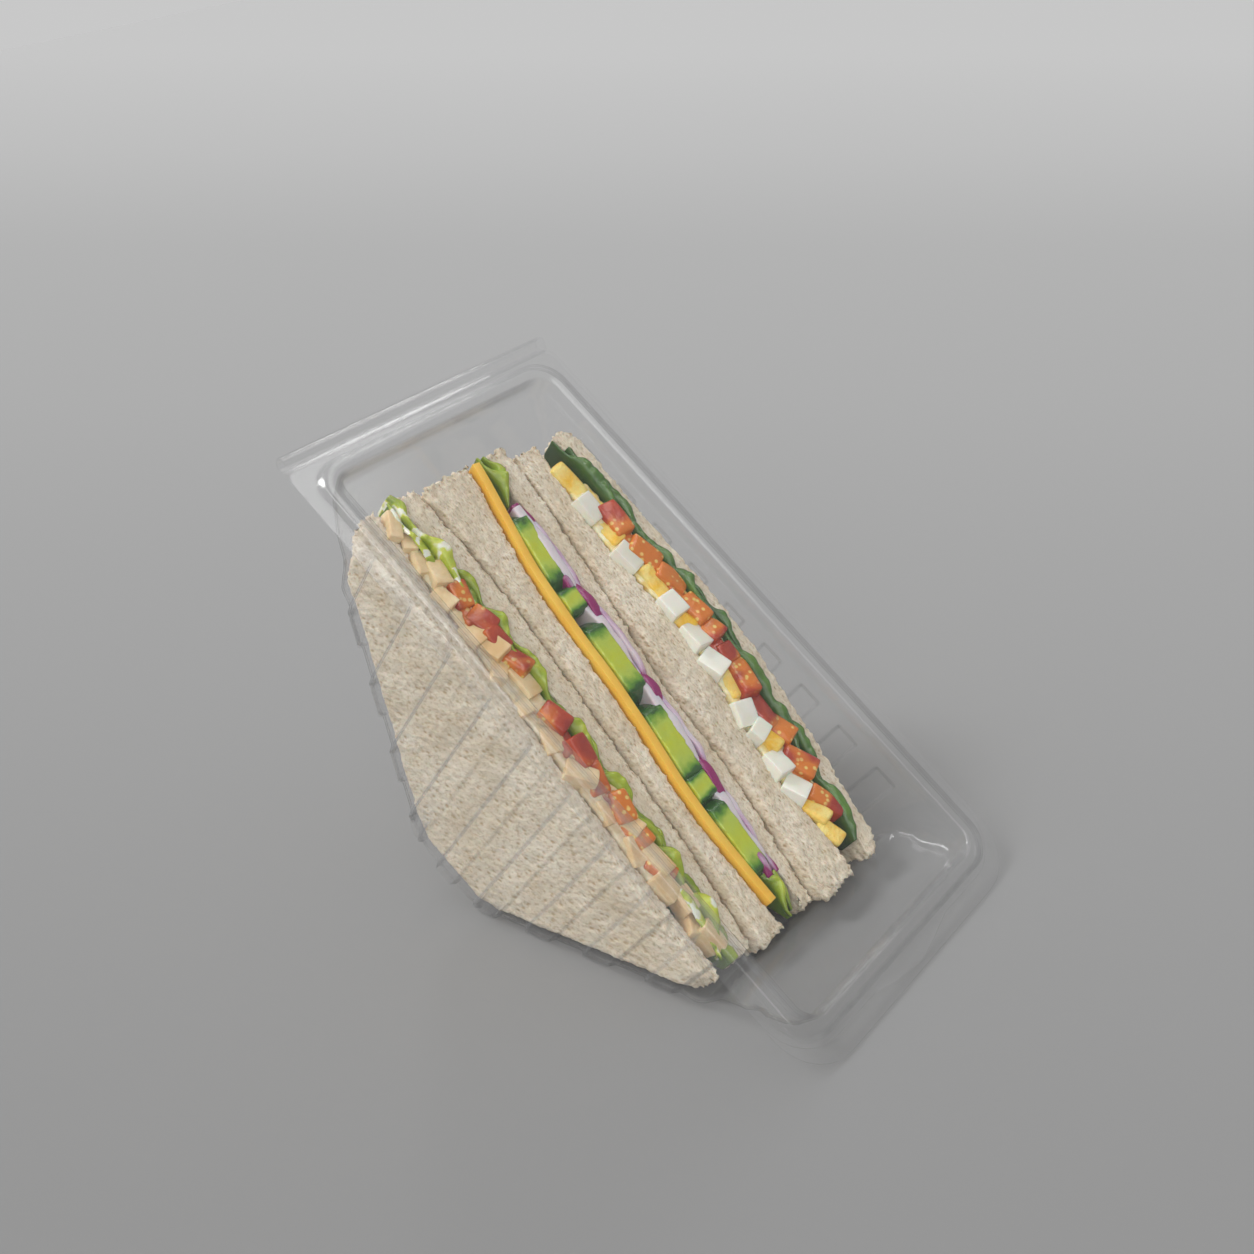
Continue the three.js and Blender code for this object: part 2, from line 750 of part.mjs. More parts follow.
function makeCheddarSandwich() {
  const sandwich = cheddarSandwich;
  const nearFace = shifted(chickenSandwich.farFar, clearance);
  const room = layerOf(sandwich, 0, 1);
  const cheddarFar = shifted(room.near, cheddarThickness);
  const saladNear = shifted(cheddarFar, clearance);
  const cucumberFar = between(saladNear, room.far, cucumberShare);
  const onionNear = shifted(cucumberFar, clearance);
  const cucumber = { near: saladNear, far: cucumberFar, cut: shifted(sandwich.cut, 0.6) };
  const cheddar = loft(sandwich.start + 1, sandwich.end - 1.5, sliceSteps, {
    near: room.near,
    far: cheddarFar,
    top: shifted(sandwich.cut, cheddarRise),
    bottom: shifted(seatAt, cheddarFootRise),
  });
  const pieces = [
    breadSlice('bread_cheddar_near', sandwich, nearFace, sandwich.nearFar),
    breadSlice('bread_cheddar_far', sandwich, sandwich.farNear, sandwich.farFar),
    namedMesh('cheddar_slice', cheddar, 'cheddar'),
  ];
  const cucumberCentres = [0.2579, 0.4342, 0.5658, 0.7263].map(lengthwise);
  cucumberCentres.forEach((centre, slice) => {
    const round = roundSlice({ ...cucumber, centre, drop: cucumberDrop, radius: cucumberRadius });
    pieces.push(namedMesh(`cucumber_slice_${slice + 1}`, round, 'cucumber'));
  });
  [0.3484, 0.6453].map(lengthwise).forEach((centre, slice) => {
    const radius = cucumberEndRadius;
    const round = roundSlice({ ...cucumber, centre, drop: cucumberEndDrop, radius });
    pieces.push(namedMesh(`cucumber_end_${slice + 1}`, round, 'cucumber'));
  });
  [0.3579, 0.5053].map(lengthwise).forEach((centre, slice) => {
    const radius = cucumberRadius;
    const round = roundSlice({ ...cucumber, centre, drop: hiddenCucumberDrop, radius });
    pieces.push(namedMesh(`cucumber_slice_${slice + 5}`, round, 'cucumber'));
  });
  [0.2632, 0.4158, 0.5658, 0.7158].map(lengthwise).forEach((centre, slice) => {
    const round = roundSlice({
      centre,
      drop: onionDrop,
      radius: onionRadius,
      near: onionNear,
      far: room.far,
      cut: shifted(sandwich.cut, 1),
    });
    pieces.push(namedMesh(`onion_slice_${slice + 1}`, round, 'onion'));
  });
  const salad = { near: saladNear, far: room.far };
  pieces.push(leaf('lettuce_scrap_1', 'lettuce', sandwich, salad, {
    from: lengthwise(0.1184),
    to: lengthwise(0.1842),
    rise: 0.9,
    depth: 9,
    waves: 1,
  }));
  pieces.push(leaf('lettuce_scrap_2', 'lettuce', sandwich, salad, {
    from: lengthwise(0.7947),
    to: lengthwise(0.8421),
    rise: 0.9,
    depth: 6,
    waves: 1,
  }));
  return pieces;
}

function makeEggSandwich() {
  const sandwich = eggSandwich;
  const nearFace = shifted(cheddarSandwich.farFar, clearance);
  const egg = layerOf(sandwich, 0, 0.42);
  const tomato = layerOf(sandwich, 0.42, 0.8);
  const spinach = layerOf(sandwich, 0.8, 1);
  const ease = endEase(sandwich);
  const farFace = (x) => sandwich.farFar(x) - ease(x);
  const pieces = [
    breadSlice('bread_egg_near', sandwich, nearFace, sandwich.nearFar),
    breadSlice('bread_egg_far', sandwich, sandwich.farNear, farFace, {
      farBevel: wallEdgeBevel,
    }),
    fillingBed('egg_filling', 'yolk', sandwich, 0.8),
    ...rowOfPieces({
      name: 'tomato_egg_piece',
      finish: 'tomato',
      sandwich,
      layer: tomato,
      from: lengthwise(0.2474),
      to: lengthwise(0.7895),
      count: 5,
      rise: 1.2,
    }),
  ];
  const eggFrom = lengthwise(0.1737);
  const eggPitch = lengthwise(0.0589);
  const eggCount = 11;
  for (let piece = 0; piece < eggCount; piece += 1) {
    const start = eggFrom + piece * eggPitch;
    const end = start + eggPitch - clearance;
    const number = Math.floor(piece / 2) + 1;
    const white = piece % 2 === 1;
    const name = white ? `egg_white_piece_${number}` : `egg_yolk_piece_${number}`;
    const geometry = cutPiece(sandwich, egg, start, end, white ? 1.2 : 0.4);
    pieces.push(namedMesh(name, geometry, white ? 'eggWhite' : 'yolk'));
  }
  const leafLength = lengthwise(0.2263);
  for (let piece = 0; piece < 3; piece += 1) {
    const from = lengthwise(0.1579) + piece * leafLength;
    pieces.push(leaf(`spinach_leaf_${piece + 1}`, 'spinach', sandwich, spinach, {
      from, to: from + leafLength - 1, rise: 0.9, depth: 20, waves: 3,
    }));
  }
  return pieces;
}

// The whole pack, stood on its front leg with its centre over the origin

const pack = new THREE.Group();
pack.add(namedMesh('tub', makeTub(), 'film'));
const lid = solidOf(makeLid()).add(hingeRoll(1));
pack.add(namedMesh('lid', geometryOf(lid), 'film'));
for (const piece of [...makeChickenSandwich(), ...makeCheddarSandwich(), ...makeEggSandwich()]) {
  pack.add(piece);
}
pack.rotation.z = -Math.PI / 2;

const tilted = new THREE.Group();
tilted.rotation.x = Math.PI / 4;
tilted.add(pack);

const standing = new THREE.Group();
standing.add(tilted);
standing.updateMatrixWorld(true);
const bounds = new THREE.Box3().setFromObject(standing, true);
const centre = bounds.getCenter(new THREE.Vector3());
tilted.position.set(-centre.x, -centre.y, -bounds.min.z);

export default standing;
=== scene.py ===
"""A hinged clear wedge pack of three cut sandwiches, dressed for a soft studio picture.

Shapes are drawn in the pack's own measure, in millimetres: x runs from the hinge to the thumb
tab, y from the near side wall to the far one and z out of the mouth. A finished piece is then
stood up with the pack, in metres.
"""
from __future__ import annotations

import json
import logging
import math
import random
from collections.abc import Callable, Iterable, Iterator, Sequence
from contextlib import contextmanager
from dataclasses import dataclass, field
from enum import Enum

import bpy
from mathutils import Matrix, Vector, noise

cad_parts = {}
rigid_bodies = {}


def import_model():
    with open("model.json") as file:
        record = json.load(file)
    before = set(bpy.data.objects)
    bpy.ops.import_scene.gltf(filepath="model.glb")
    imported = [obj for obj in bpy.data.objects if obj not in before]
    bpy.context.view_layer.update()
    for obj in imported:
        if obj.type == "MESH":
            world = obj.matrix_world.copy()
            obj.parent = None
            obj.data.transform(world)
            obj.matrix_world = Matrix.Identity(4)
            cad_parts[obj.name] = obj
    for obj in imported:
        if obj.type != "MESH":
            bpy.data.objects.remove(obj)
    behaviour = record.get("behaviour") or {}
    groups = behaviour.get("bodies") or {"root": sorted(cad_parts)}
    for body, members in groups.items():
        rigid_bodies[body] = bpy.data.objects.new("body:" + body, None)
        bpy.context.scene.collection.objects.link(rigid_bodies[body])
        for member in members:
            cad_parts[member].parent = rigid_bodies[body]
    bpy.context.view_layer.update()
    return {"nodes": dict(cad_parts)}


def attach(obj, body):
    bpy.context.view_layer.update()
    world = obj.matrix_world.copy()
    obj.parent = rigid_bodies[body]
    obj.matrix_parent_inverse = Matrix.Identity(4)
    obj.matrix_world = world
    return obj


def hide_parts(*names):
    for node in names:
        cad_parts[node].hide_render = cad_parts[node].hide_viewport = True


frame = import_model()

log = logging.getLogger("sandwich_pack")

PACK_TO_ROW = (
    Matrix.Translation((-0.04685, 0.06633728, 0.13457646))
    @ Matrix.Scale(0.001, 4)
    @ Matrix.Rotation(math.pi / 4, 4, "X")
    @ Matrix.Rotation(-math.pi / 2, 4, "Z")
)

Point = tuple[float, float, float]
Place = Callable[[float, float], Point]
Piece = bpy.types.Object
Finish = bpy.types.Material
Socket = bpy.types.NodeSocket


class Body(Enum):
    """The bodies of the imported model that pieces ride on."""

    TUB = "tub"
    LID = "lid"


# Steps at the bench


def deselect() -> None:
    """Leaves nothing selected, so that the next operator acts on its own piece alone."""
    if bpy.context.mode != "OBJECT":
        bpy.ops.object.mode_set(mode="OBJECT")
    bpy.ops.object.select_all(action="DESELECT")


def pick(piece: Piece) -> None:
    """Selects one piece and makes it active.

    Args:
        piece: The piece to work on.
    """
    deselect()
    piece.select_set(True)
    bpy.context.view_layer.objects.active = piece


@contextmanager
def editing(piece: Piece, action: str = "SELECT") -> Iterator[None]:
    """Opens a piece's mesh for work and closes it afterwards.

    Args:
        piece: The piece to work on.
        action: Whether all of it or none of it starts out selected.
    """
    pick(piece)
    bpy.ops.object.mode_set(mode="EDIT")
    bpy.ops.mesh.select_all(action=action)
    yield
    bpy.ops.object.mode_set(mode="OBJECT")


def grid(name: str, columns: int, rows: int, place: Place) -> Piece:
    """Makes a sheet from a grid whose corners are put in place one by one.

    Args:
        name: The piece's name.
        columns: Faces along the first way.
        rows: Faces along the second way.
        place: Gives a corner's place from its two shares, each from 0 to 1.

    Returns:
        The sheet.
    """
    deselect()
    bpy.ops.mesh.primitive_grid_add(x_subdivisions=columns, y_subdivisions=rows, size=1)
    piece = bpy.context.active_object
    piece.name = name
    for vertex in piece.data.vertices:
        across = round((vertex.co.x + 0.5) * columns) / columns
        along = round((vertex.co.y + 0.5) * rows) / rows
        vertex.co = place(across, along)
    return piece


def join(name: str, pieces: Sequence[Piece]) -> Piece:
    """Joins pieces into one.

    Args:
        name: The joined piece's name.
        pieces: The pieces, of which the first takes in the others.

    Returns:
        The joined piece.
    """
    deselect()
    for piece in pieces:
        piece.select_set(True)
    bpy.context.view_layer.objects.active = pieces[0]
    if len(pieces) > 1:
        bpy.ops.object.join()
    joined = bpy.context.active_object
    joined.name = name
    return joined


def weld(piece: Piece, reach: float = 0.01) -> None:
    """Merges corners that meet and turns the faces outwards.

    Args:
        piece: The piece to mend.
        reach: How far apart two corners may lie to be merged.
    """
    with editing(piece):
        bpy.ops.mesh.remove_doubles(threshold=reach)
        bpy.ops.mesh.normals_make_consistent(inside=False)


def modify(piece: Piece, kind: str, **settings: object) -> None:
    """Adds a modifier and applies it.

    Args:
        piece: The piece to change.
        kind: Blender's name of the modifier's type.
        settings: The modifier's values.
    """
    pick(piece)
    modifier = piece.modifiers.new(kind.lower(), kind)
    for key, value in settings.items():
        setattr(modifier, key, value)
    bpy.ops.object.modifier_apply(modifier=modifier.name)


def round_off(piece: Piece, width: float, angle: float) -> None:
    """Rounds a piece's sharp edges.

    Args:
        piece: The piece to change.
        width: How far each edge is cut back.
        angle: The least angle of a sharp edge, in degrees.
    """
    modify(piece, "BEVEL", width=width, segments=2, limit_method="ANGLE", angle_limit=math.radians(angle))


def remesh(piece: Piece, voxel: float) -> None:
    """Remakes a piece's skin in small, even faces and smooths it.

    Args:
        piece: The piece to change.
        voxel: The size of the faces.
    """
    modify(piece, "REMESH", mode="VOXEL", voxel_size=voxel)
    modify(piece, "SMOOTH", factor=0.5, iterations=2)


def ruffle(
    piece: Piece, kind: str, size: float, strength: float, level: float = 0.5, group: str = ""
) -> None:
    """Moves a piece's skin in and out by a soft pattern.

    Args:
        piece: The piece to change.
        kind: Blender's name of the texture's type.
        size: The pattern's size.
        strength: The full height of the pattern.
        level: The share of the pattern that cuts in.
        group: The group of vertices whose weights scale it.
    """
    texture = bpy.data.textures.new(f"{piece.name}_{kind.lower()}", kind)
    texture.noise_scale = size
    modify(
        piece, "DISPLACE", texture=texture, strength=strength, mid_level=level, texture_coords="LOCAL",
        vertex_group=group,
    )
    bpy.data.textures.remove(texture)


def stand_up(piece: Piece) -> None:
    """Turns a piece from the pack's measure to its standing place.

    Args:
        piece: The piece, drawn in millimetres.
    """
    pick(piece)
    piece.matrix_world = PACK_TO_ROW
    bpy.ops.object.transform_apply(location=True, rotation=True, scale=True)


def copy_node(node: str, name: str) -> Piece:
    """Copies a node's solid as a piece of its own, laid back into the pack's measure.

    Args:
        node: The node.
        name: The copy's name.

    Returns:
        The copy.
    """
    source = frame["nodes"][node]
    piece = source.copy()
    piece.data = source.data.copy()
    piece.parent = None
    for key in list(piece.keys()):
        del piece[key]
    bpy.context.scene.collection.objects.link(piece)
    piece.name = name
    piece.data.transform(PACK_TO_ROW.inverted())
    weld(piece)
    return piece


def finish_piece(
    piece: Piece, material: Finish, nodes: Iterable[str], body: Body = Body.TUB,
    smooth: float = 180,
) -> Piece:
    """Stands a piece up, dresses it and hands it to its body.

    Args:
        piece: The piece, drawn in millimetres.
        material: What it is dressed in.
        nodes: The nodes that it stands for.
        body: The body that it rides on.
        smooth: The angle under which two faces shade as one, in degrees.

    Returns:
        The finished piece.
    """
    stand_up(piece)
    bpy.ops.object.shade_smooth_by_angle(angle=math.radians(smooth))
    piece.data.materials.clear()
    piece.data.materials.append(material)
    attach(piece, body.value)
    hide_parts(*nodes)
    log.info("%s: %d faces", piece.name, len(piece.data.polygons))
    return piece


# Finishes


class NodeTree:
    """A tree of nodes, with short ways to add to it."""

    def __init__(self, tree: bpy.types.NodeTree) -> None:
        """Takes up a tree.

        Args:
            tree: The tree.
        """
        self.tree = tree

    def add(self, kind: str, **values: object) -> bpy.types.Node:
        """Adds a node.

        Args:
            kind: The node's type.
            values: Its properties.

        Returns:
            The node.
        """
        node = self.tree.nodes.new(kind)
        for key, value in values.items():
            setattr(node, key, value)
        return node

    def link(self, source: Socket, target: Socket) -> None:
        """Joins two sockets."""
        self.tree.links.new(source, target)

    def ramp(self, source: Socket, stops: Sequence[tuple[float, Point]]) -> Socket:
        """Turns a value into a colour.

        Args:
            source: The value.
            stops: Places with their colours.

        Returns:
            The colour.
        """
        node = self.add("ShaderNodeValToRGB")
        elements = node.color_ramp.elements
        while len(elements) < len(stops):
            elements.new(0.5)
        for element, (place, colour) in zip(elements, stops):
            element.position = place
            element.color = (*colour, 1)
        self.link(source, node.inputs["Fac"])
        return node.outputs["Color"]

    def span(self, share: Socket, low: Socket | float, high: Socket | float) -> Socket:
        """Runs from one value to another.

        Args:
            share: How far it has run, from 0 to 1.
            low: The value at 0, plain or from a node.
            high: The value at 1.

        Returns:
            The value between them.
        """
        node = self.add("ShaderNodeMapRange")
        self.link(share, node.inputs["Value"])
        for name, value in (("To Min", low), ("To Max", high)):
            if isinstance(value, float):
                node.inputs[name].default_value = value
            else:
                self.link(value, node.inputs[name])
        return node.outputs["Result"]


class Sketch(NodeTree):
    """A material's nodes round its shader."""

    def __init__(self, name: str) -> None:
        """Starts an empty material.

        Args:
            name: The material's name.
        """
        self.material = bpy.data.materials.new(name)
        self.material.use_nodes = True
        super().__init__(self.material.node_tree)
        self.tree.nodes.clear()
        self.output = self.add("ShaderNodeOutputMaterial")
        self.shader = self.add("ShaderNodeBsdfPrincipled")
        self.link(self.shader.outputs["BSDF"], self.output.inputs["Surface"])
        self.place = self.add("ShaderNodeTexCoord").outputs["Object"]

    def set(self, **values: object) -> None:
        """Sets the shader's own sockets, named with underlines for spaces."""
        for key, value in values.items():
            self.shader.inputs[key.replace("_", " ")].default_value = value

    def noise(self, scale: float, detail: float = 3, roughness: float = 0.5) -> Socket:
        """Adds cloudy noise in the piece's own place.

        Args:
            scale: Clouds to a metre.
            detail: Finer layers.
            roughness: Strength of the finer layers.

        Returns:
            The noise from 0 to 1.
        """
        node = self.add("ShaderNodeTexNoise")
        node.inputs["Scale"].default_value = scale
        node.inputs["Detail"].default_value = detail
        node.inputs["Roughness"].default_value = roughness
        self.link(self.place, node.inputs["Vector"])
        return node.outputs["Fac"]

    def cells(self, scale: float, feature: str = "F1") -> Socket:
        """Adds a field of cells.

        Args:
            scale: Cells to a metre.
            feature: What is measured in each cell.

        Returns:
            The distance in the cell.
        """
        node = self.add("ShaderNodeTexVoronoi", feature=feature)
        node.inputs["Scale"].default_value = scale
        self.link(self.place, node.inputs["Vector"])
        return node.outputs["Distance"]

    def attribute(self, name: str) -> Socket:
        """Reads a value that the mesh holds."""
        return self.add("ShaderNodeAttribute", attribute_name=name).outputs["Fac"]

    def blend(self, share: Socket, first: Socket, second: Socket | Point) -> Socket:
        """Mixes two colours.

        Args:
            share: How much of the second shows.
            first: The first colour.
            second: The second colour, plain or from a node.

        Returns:
            The mixed colour.
        """
        node = self.add("ShaderNodeMixRGB")
        self.link(share, node.inputs["Fac"])
        self.link(first, node.inputs["Color1"])
        if isinstance(second, tuple):
            node.inputs["Color2"].default_value = (*second, 1)
        else:
            self.link(second, node.inputs["Color2"])
        return node.outputs["Color"]

    def curve(self, source: Socket, power: float, scale: float, base: float) -> Socket:
        """Raises a value to a power, scales it and adds a base.

        Args:
            source: The value.
            power: The power.
            scale: What the power is multiplied by.
            base: What is added.

        Returns:
            The new value.
        """
        raised = self.add("ShaderNodeMath", operation="POWER")
        self.link(source, raised.inputs[0])
        raised.inputs[1].default_value = power
        scaled = self.add("ShaderNodeMath", operation="MULTIPLY_ADD", use_clamp=True)
        self.link(raised.outputs[0], scaled.inputs[0])
        scaled.inputs[1].default_value = scale
        scaled.inputs[2].default_value = base
        return scaled.outputs[0]

    def mix(self, share: Socket, first: Socket, second: Socket) -> Socket:
        """Mixes two shaders.

        Args:
            share: How much of the second shows.
            first: The first shader.
            second: The second shader.

        Returns:
            The mixed shader.
        """
        node = self.add("ShaderNodeMixShader")
        for socket, source in zip(node.inputs, (share, first, second)):
            self.link(source, socket)
        return node.outputs["Shader"]

    def bump(self, height: Socket, strength: float, distance: float) -> None:
        """Adds a bump over the bumps so far.

        Args:
            height: The bump's height from 0 to 1.
            strength: How strongly it shows.
            distance: Its full height in metres.
        """
        node = self.add("ShaderNodeBump")
        node.inputs["Strength"].default_value = strength
        node.inputs["Distance"].default_value = distance
        self.link(height, node.inputs["Height"])
        before = self.shader.inputs["Normal"]
        if before.is_linked:
            self.link(before.links[0].from_socket, node.inputs["Normal"])
        self.link(node.outputs["Normal"], before)


@dataclass(frozen=True)
class ClearFilm:
    """Clear thermoformed film, thin enough that it doesn't bend what is seen through it."""

    passes: float = 0.99
    edge_loss: float = 0.5
    loss_power: float = 4
    head_on: float = 0.02
    edge_mirror: float = 0.8
    mirror_power: float = 5.5
    veil: Point = (0.93, 0.94, 0.95)
    veil_share: float = 0.008
    edge_veil: float = 0.17
    veil_power: float = 3
    shadow_passes: float = 0.975
    shadow_share: float = 0.8
    roughness: float = 0.015

    def material(self) -> Finish:
        """Makes the film: it mirrors more, and its veil thickens, where it is seen at a slant."""
        sketch = Sketch("clear_film")
        weight = sketch.add("ShaderNodeLayerWeight")
        weight.inputs["Blend"].default_value = 0.5
        slant = weight.outputs["Facing"]
        through = sketch.add("ShaderNodeBsdfTransparent")
        dimmed = sketch.curve(slant, self.loss_power, -self.edge_loss, self.passes)
        sketch.link(dimmed, through.inputs["Color"])
        sketch.set(Base_Color=(*self.veil, 1), Roughness=0.4)
        gloss = sketch.add("ShaderNodeBsdfGlossy")
        gloss.inputs["Roughness"].default_value = self.roughness
        lit = sketch.add("ShaderNodeBsdfTransparent")
        lit.inputs["Color"].default_value = (*[self.shadow_passes] * 3, 1)
        shadow = sketch.add("ShaderNodeLightPath").outputs["Is Shadow Ray"]
        veil = sketch.curve(slant, self.veil_power, self.edge_veil, self.veil_share)
        mirror = sketch.curve(slant, self.mirror_power, self.edge_mirror, self.head_on)
        hazy = sketch.mix(veil, through.outputs["BSDF"], sketch.shader.outputs["BSDF"])
        seen = sketch.mix(mirror, hazy, gloss.outputs["BSDF"])
        shaded = sketch.mix(sketch.curve(shadow, 1, self.shadow_share, 0), seen, lit.outputs["BSDF"])
        sketch.link(shaded, sketch.output.inputs["Surface"])
        return sketch.material


@dataclass(frozen=True)
class BreadCrumb:
    """Soft white crumb with open pores, with painted shade in them."""

    light: Point = (0.87, 0.785, 0.64)
    shade: Point = (0.745, 0.64, 0.48)
    # The colour of the painted shade in the pores.
    pore_shade: Point = (0.48, 0.355, 0.205)
    pores: float = 620
    fine: float = 1500

    def material(self) -> Finish:
        """Makes the crumb: pale, with painted shade darkening the pores, drawn out along the loaf, and a
        rough skin.
        """
        sketch = Sketch("bread_crumb")
        mapping = sketch.add("ShaderNodeMapping")
        mapping.inputs["Scale"].default_value = (1.7, 0.5, 0.8)
        mapping.inputs["Rotation"].default_value = (0.5, 0.3, 0.4)
        sketch.link(sketch.place, mapping.inputs["Vector"])
        sketch.place = mapping.outputs["Vector"]
        broad = sketch.ramp(sketch.noise(110, 4, 0.6), [(0.35, self.shade), (0.62, self.light)])
        # Painted shade: the colour turns to the pore colour in the cells' middles and in the fine noise's
        # low spots, where the bumps below sink in.
        large = sketch.ramp(sketch.cells(self.pores), [(0.08, (0.9, 0.9, 0.9)), (0.32, (0, 0, 0))])
        small = sketch.ramp(sketch.noise(self.fine, 3, 0.7), [(0.36, (0.6, 0.6, 0.6)), (0.50, (0, 0, 0))])
        first = sketch.blend(large, broad, self.pore_shade)
        sketch.link(sketch.blend(small, first, self.pore_shade), sketch.shader.inputs["Base Color"])
        sketch.set(Roughness=0.9, Specular_IOR_Level=0.12, Subsurface_Weight=0.12, Subsurface_Scale=0.0015)
        sketch.bump(sketch.cells(self.pores), 0.4, 0.0008)
        sketch.bump(sketch.noise(self.fine, 3, 0.7), 0.35, 0.0005)
        return sketch.material


@dataclass(frozen=True)
class WetFlesh:
    """Moist cut food whose colour clouds between two tones."""

    name: str
    tones: tuple[Point, Point]
    scale: float = 220
    roughness: float = 0.35
    glow: float = 0.2
    grain: float = 900
    relief: float = 0.25
    coat: float = 0.2

    def material(self) -> Finish:
        """Makes the flesh."""
        sketch = Sketch(self.name)
        first, second = self.tones
        colour = sketch.ramp(sketch.noise(self.scale, 4, 0.6), [(0.36, first), (0.64, second)])
        sketch.link(colour, sketch.shader.inputs["Base Color"])
        sketch.set(
            Roughness=self.roughness, Subsurface_Weight=self.glow, Subsurface_Scale=0.002,
            Coat_Weight=self.coat, Coat_Roughness=0.2,
        )
        sketch.bump(sketch.noise(self.grain, 3), self.relief, 0.0006)
        return sketch.material


@dataclass(frozen=True)
class RindAndDepthShadeFlesh:
    """Cut food with a rind: the mesh's rind value runs from 0 in the flesh to 1 on the skin; on leaves it
    holds painted light and shade instead, light on the lip above the cut and dark deeper below it.
    """

    name: str
    stops: tuple[tuple[float, Point], ...]
    roughness: float = 0.3
    mottle: float = 300
    uneven: float = 0.12

    def material(self) -> Finish:
        """Makes the flesh and its rind."""
        sketch = Sketch(self.name)
        shift = sketch.add("ShaderNodeMath", operation="MULTIPLY_ADD")
        sketch.link(sketch.noise(self.mottle, 3), shift.inputs[0])
        shift.inputs[1].default_value = self.uneven
        shift.inputs[2].default_value = -self.uneven / 2
        mottled = sketch.add("ShaderNodeMath", operation="ADD")
        sketch.link(shift.outputs[0], mottled.inputs[0])
        sketch.link(sketch.attribute("rind_and_depth_shade"), mottled.inputs[1])
        colour = sketch.ramp(mottled.outputs[0], self.stops)
        sketch.link(colour, sketch.shader.inputs["Base Color"])
        sketch.set(
            Roughness=self.roughness, Subsurface_Weight=0.2, Subsurface_Scale=0.002,
            Coat_Weight=0.3, Coat_Roughness=0.15,
        )
        sketch.bump(sketch.noise(700, 3), 0.2, 0.0005)
        return sketch.material


@dataclass(frozen=True)
class TomatoFlesh:
    """Wet red flesh with patches of orange pulp that hold pale seeds."""

    deep: Point = (0.34, 0.016, 0.004)
    flesh: Point = (0.52, 0.055, 0.008)
    pulp: Point = (0.70, 0.19, 0.008)
    seed: Point = (0.85, 0.60, 0.16)

    def material(self) -> Finish:
        """Makes the flesh."""
        sketch = Sketch("cut_tomato")
        red = sketch.ramp(sketch.noise(150, 4, 0.6), [(0.35, self.deep), (0.62, self.flesh)])
        seeds = sketch.ramp(sketch.cells(520), [(0.20, self.seed), (0.34, self.pulp)])
        patch = sketch.ramp(sketch.noise(75, 2), [(0.47, (0, 0, 0)), (0.55, (1, 1, 1))])
        sketch.link(sketch.blend(patch, red, seeds), sketch.shader.inputs["Base Color"])
        sketch.set(
            Roughness=0.22, Subsurface_Weight=0.25, Subsurface_Scale=0.002,
            Coat_Weight=0.5, Coat_Roughness=0.12,
        )
        sketch.bump(sketch.noise(480, 3), 0.4, 0.0007)
        return sketch.material


FILM = ClearFilm()
CRUMB = BreadCrumb()
CHICKEN = WetFlesh(
    "cooked_chicken", ((0.74, 0.50, 0.23), (0.92, 0.74, 0.46)), 130, 0.42, 0.2, 1100, 0.3, 0.15
)
DRESSING = WetFlesh("dressing", ((0.74, 0.56, 0.30), (0.90, 0.80, 0.58)), 260, 0.35, 0.2, 600, 0.4)
TOMATO = TomatoFlesh()
CHEDDAR = WetFlesh("cheddar", ((0.93, 0.50, 0.035), (0.97, 0.60, 0.07)), 60, 0.4, 0.25, 500, 0.08)
WHITE = WetFlesh("egg_white", ((0.86, 0.85, 0.72), (0.93, 0.92, 0.84)), 90, 0.22, 0.3, 300, 0.05, 0.4)
YOLK = WetFlesh("egg_yolk", ((0.95, 0.54, 0.015), (0.97, 0.78, 0.26)), 170, 0.4, 0.2, 1300, 0.5, 0.1)
MAYO = WetFlesh("egg_dressing", ((0.92, 0.66, 0.18), (0.95, 0.88, 0.62)), 200, 0.35, 0.25, 600, 0.35)
# The pale first stop is the dressing; the light, mid and dark greens are painted light on the lip and
# painted shade deeper in the filling.
LETTUCE = RindAndDepthShadeFlesh(
    "lettuce",
    ((0.0, (0.90, 0.88, 0.76)), (0.06, (0.60, 0.66, 0.07)), (0.35, (0.34, 0.44, 0.010)),
     (0.8, (0.09, 0.18, 0.004))),
    0.25, 160, 0.7,
)
# The light stop is a painted highlight on the lip above the cut; the darker stops are painted shade deeper
# in the filling.
SPINACH = RindAndDepthShadeFlesh(
    "spinach",
    ((0.05, (0.11, 0.25, 0.02)), (0.5, (0.04, 0.12, 0.012)), (1.0, (0.016, 0.055, 0.007))),
    0.25, 140, 0.5,
)
CUCUMBER = RindAndDepthShadeFlesh(
    "cucumber",
    ((0.05, (0.64, 0.62, 0.01)), (0.62, (0.56, 0.60, 0.01)), (0.80, (0.46, 0.58, 0.07)),
     (0.91, (0.12, 0.30, 0.015)), (0.965, (0.02, 0.10, 0.008))),
    0.2, 420, 0.2,
)
ONION = RindAndDepthShadeFlesh(
    "red_onion",
    ((0.30, (0.74, 0.66, 0.70)), (0.54, (0.56, 0.38, 0.54)), (0.70, (0.28, 0.006, 0.13))),
    0.2, 200, 0.3,
)


# The film pack


@dataclass(frozen=True)
class Loop:
    """A rounded rectangle round the mouth, by how far it lies in from the rim's edges."""

    side: float
    hinge: float
    front: float
    hinge_radius: float
    front_radius: float
    height: float


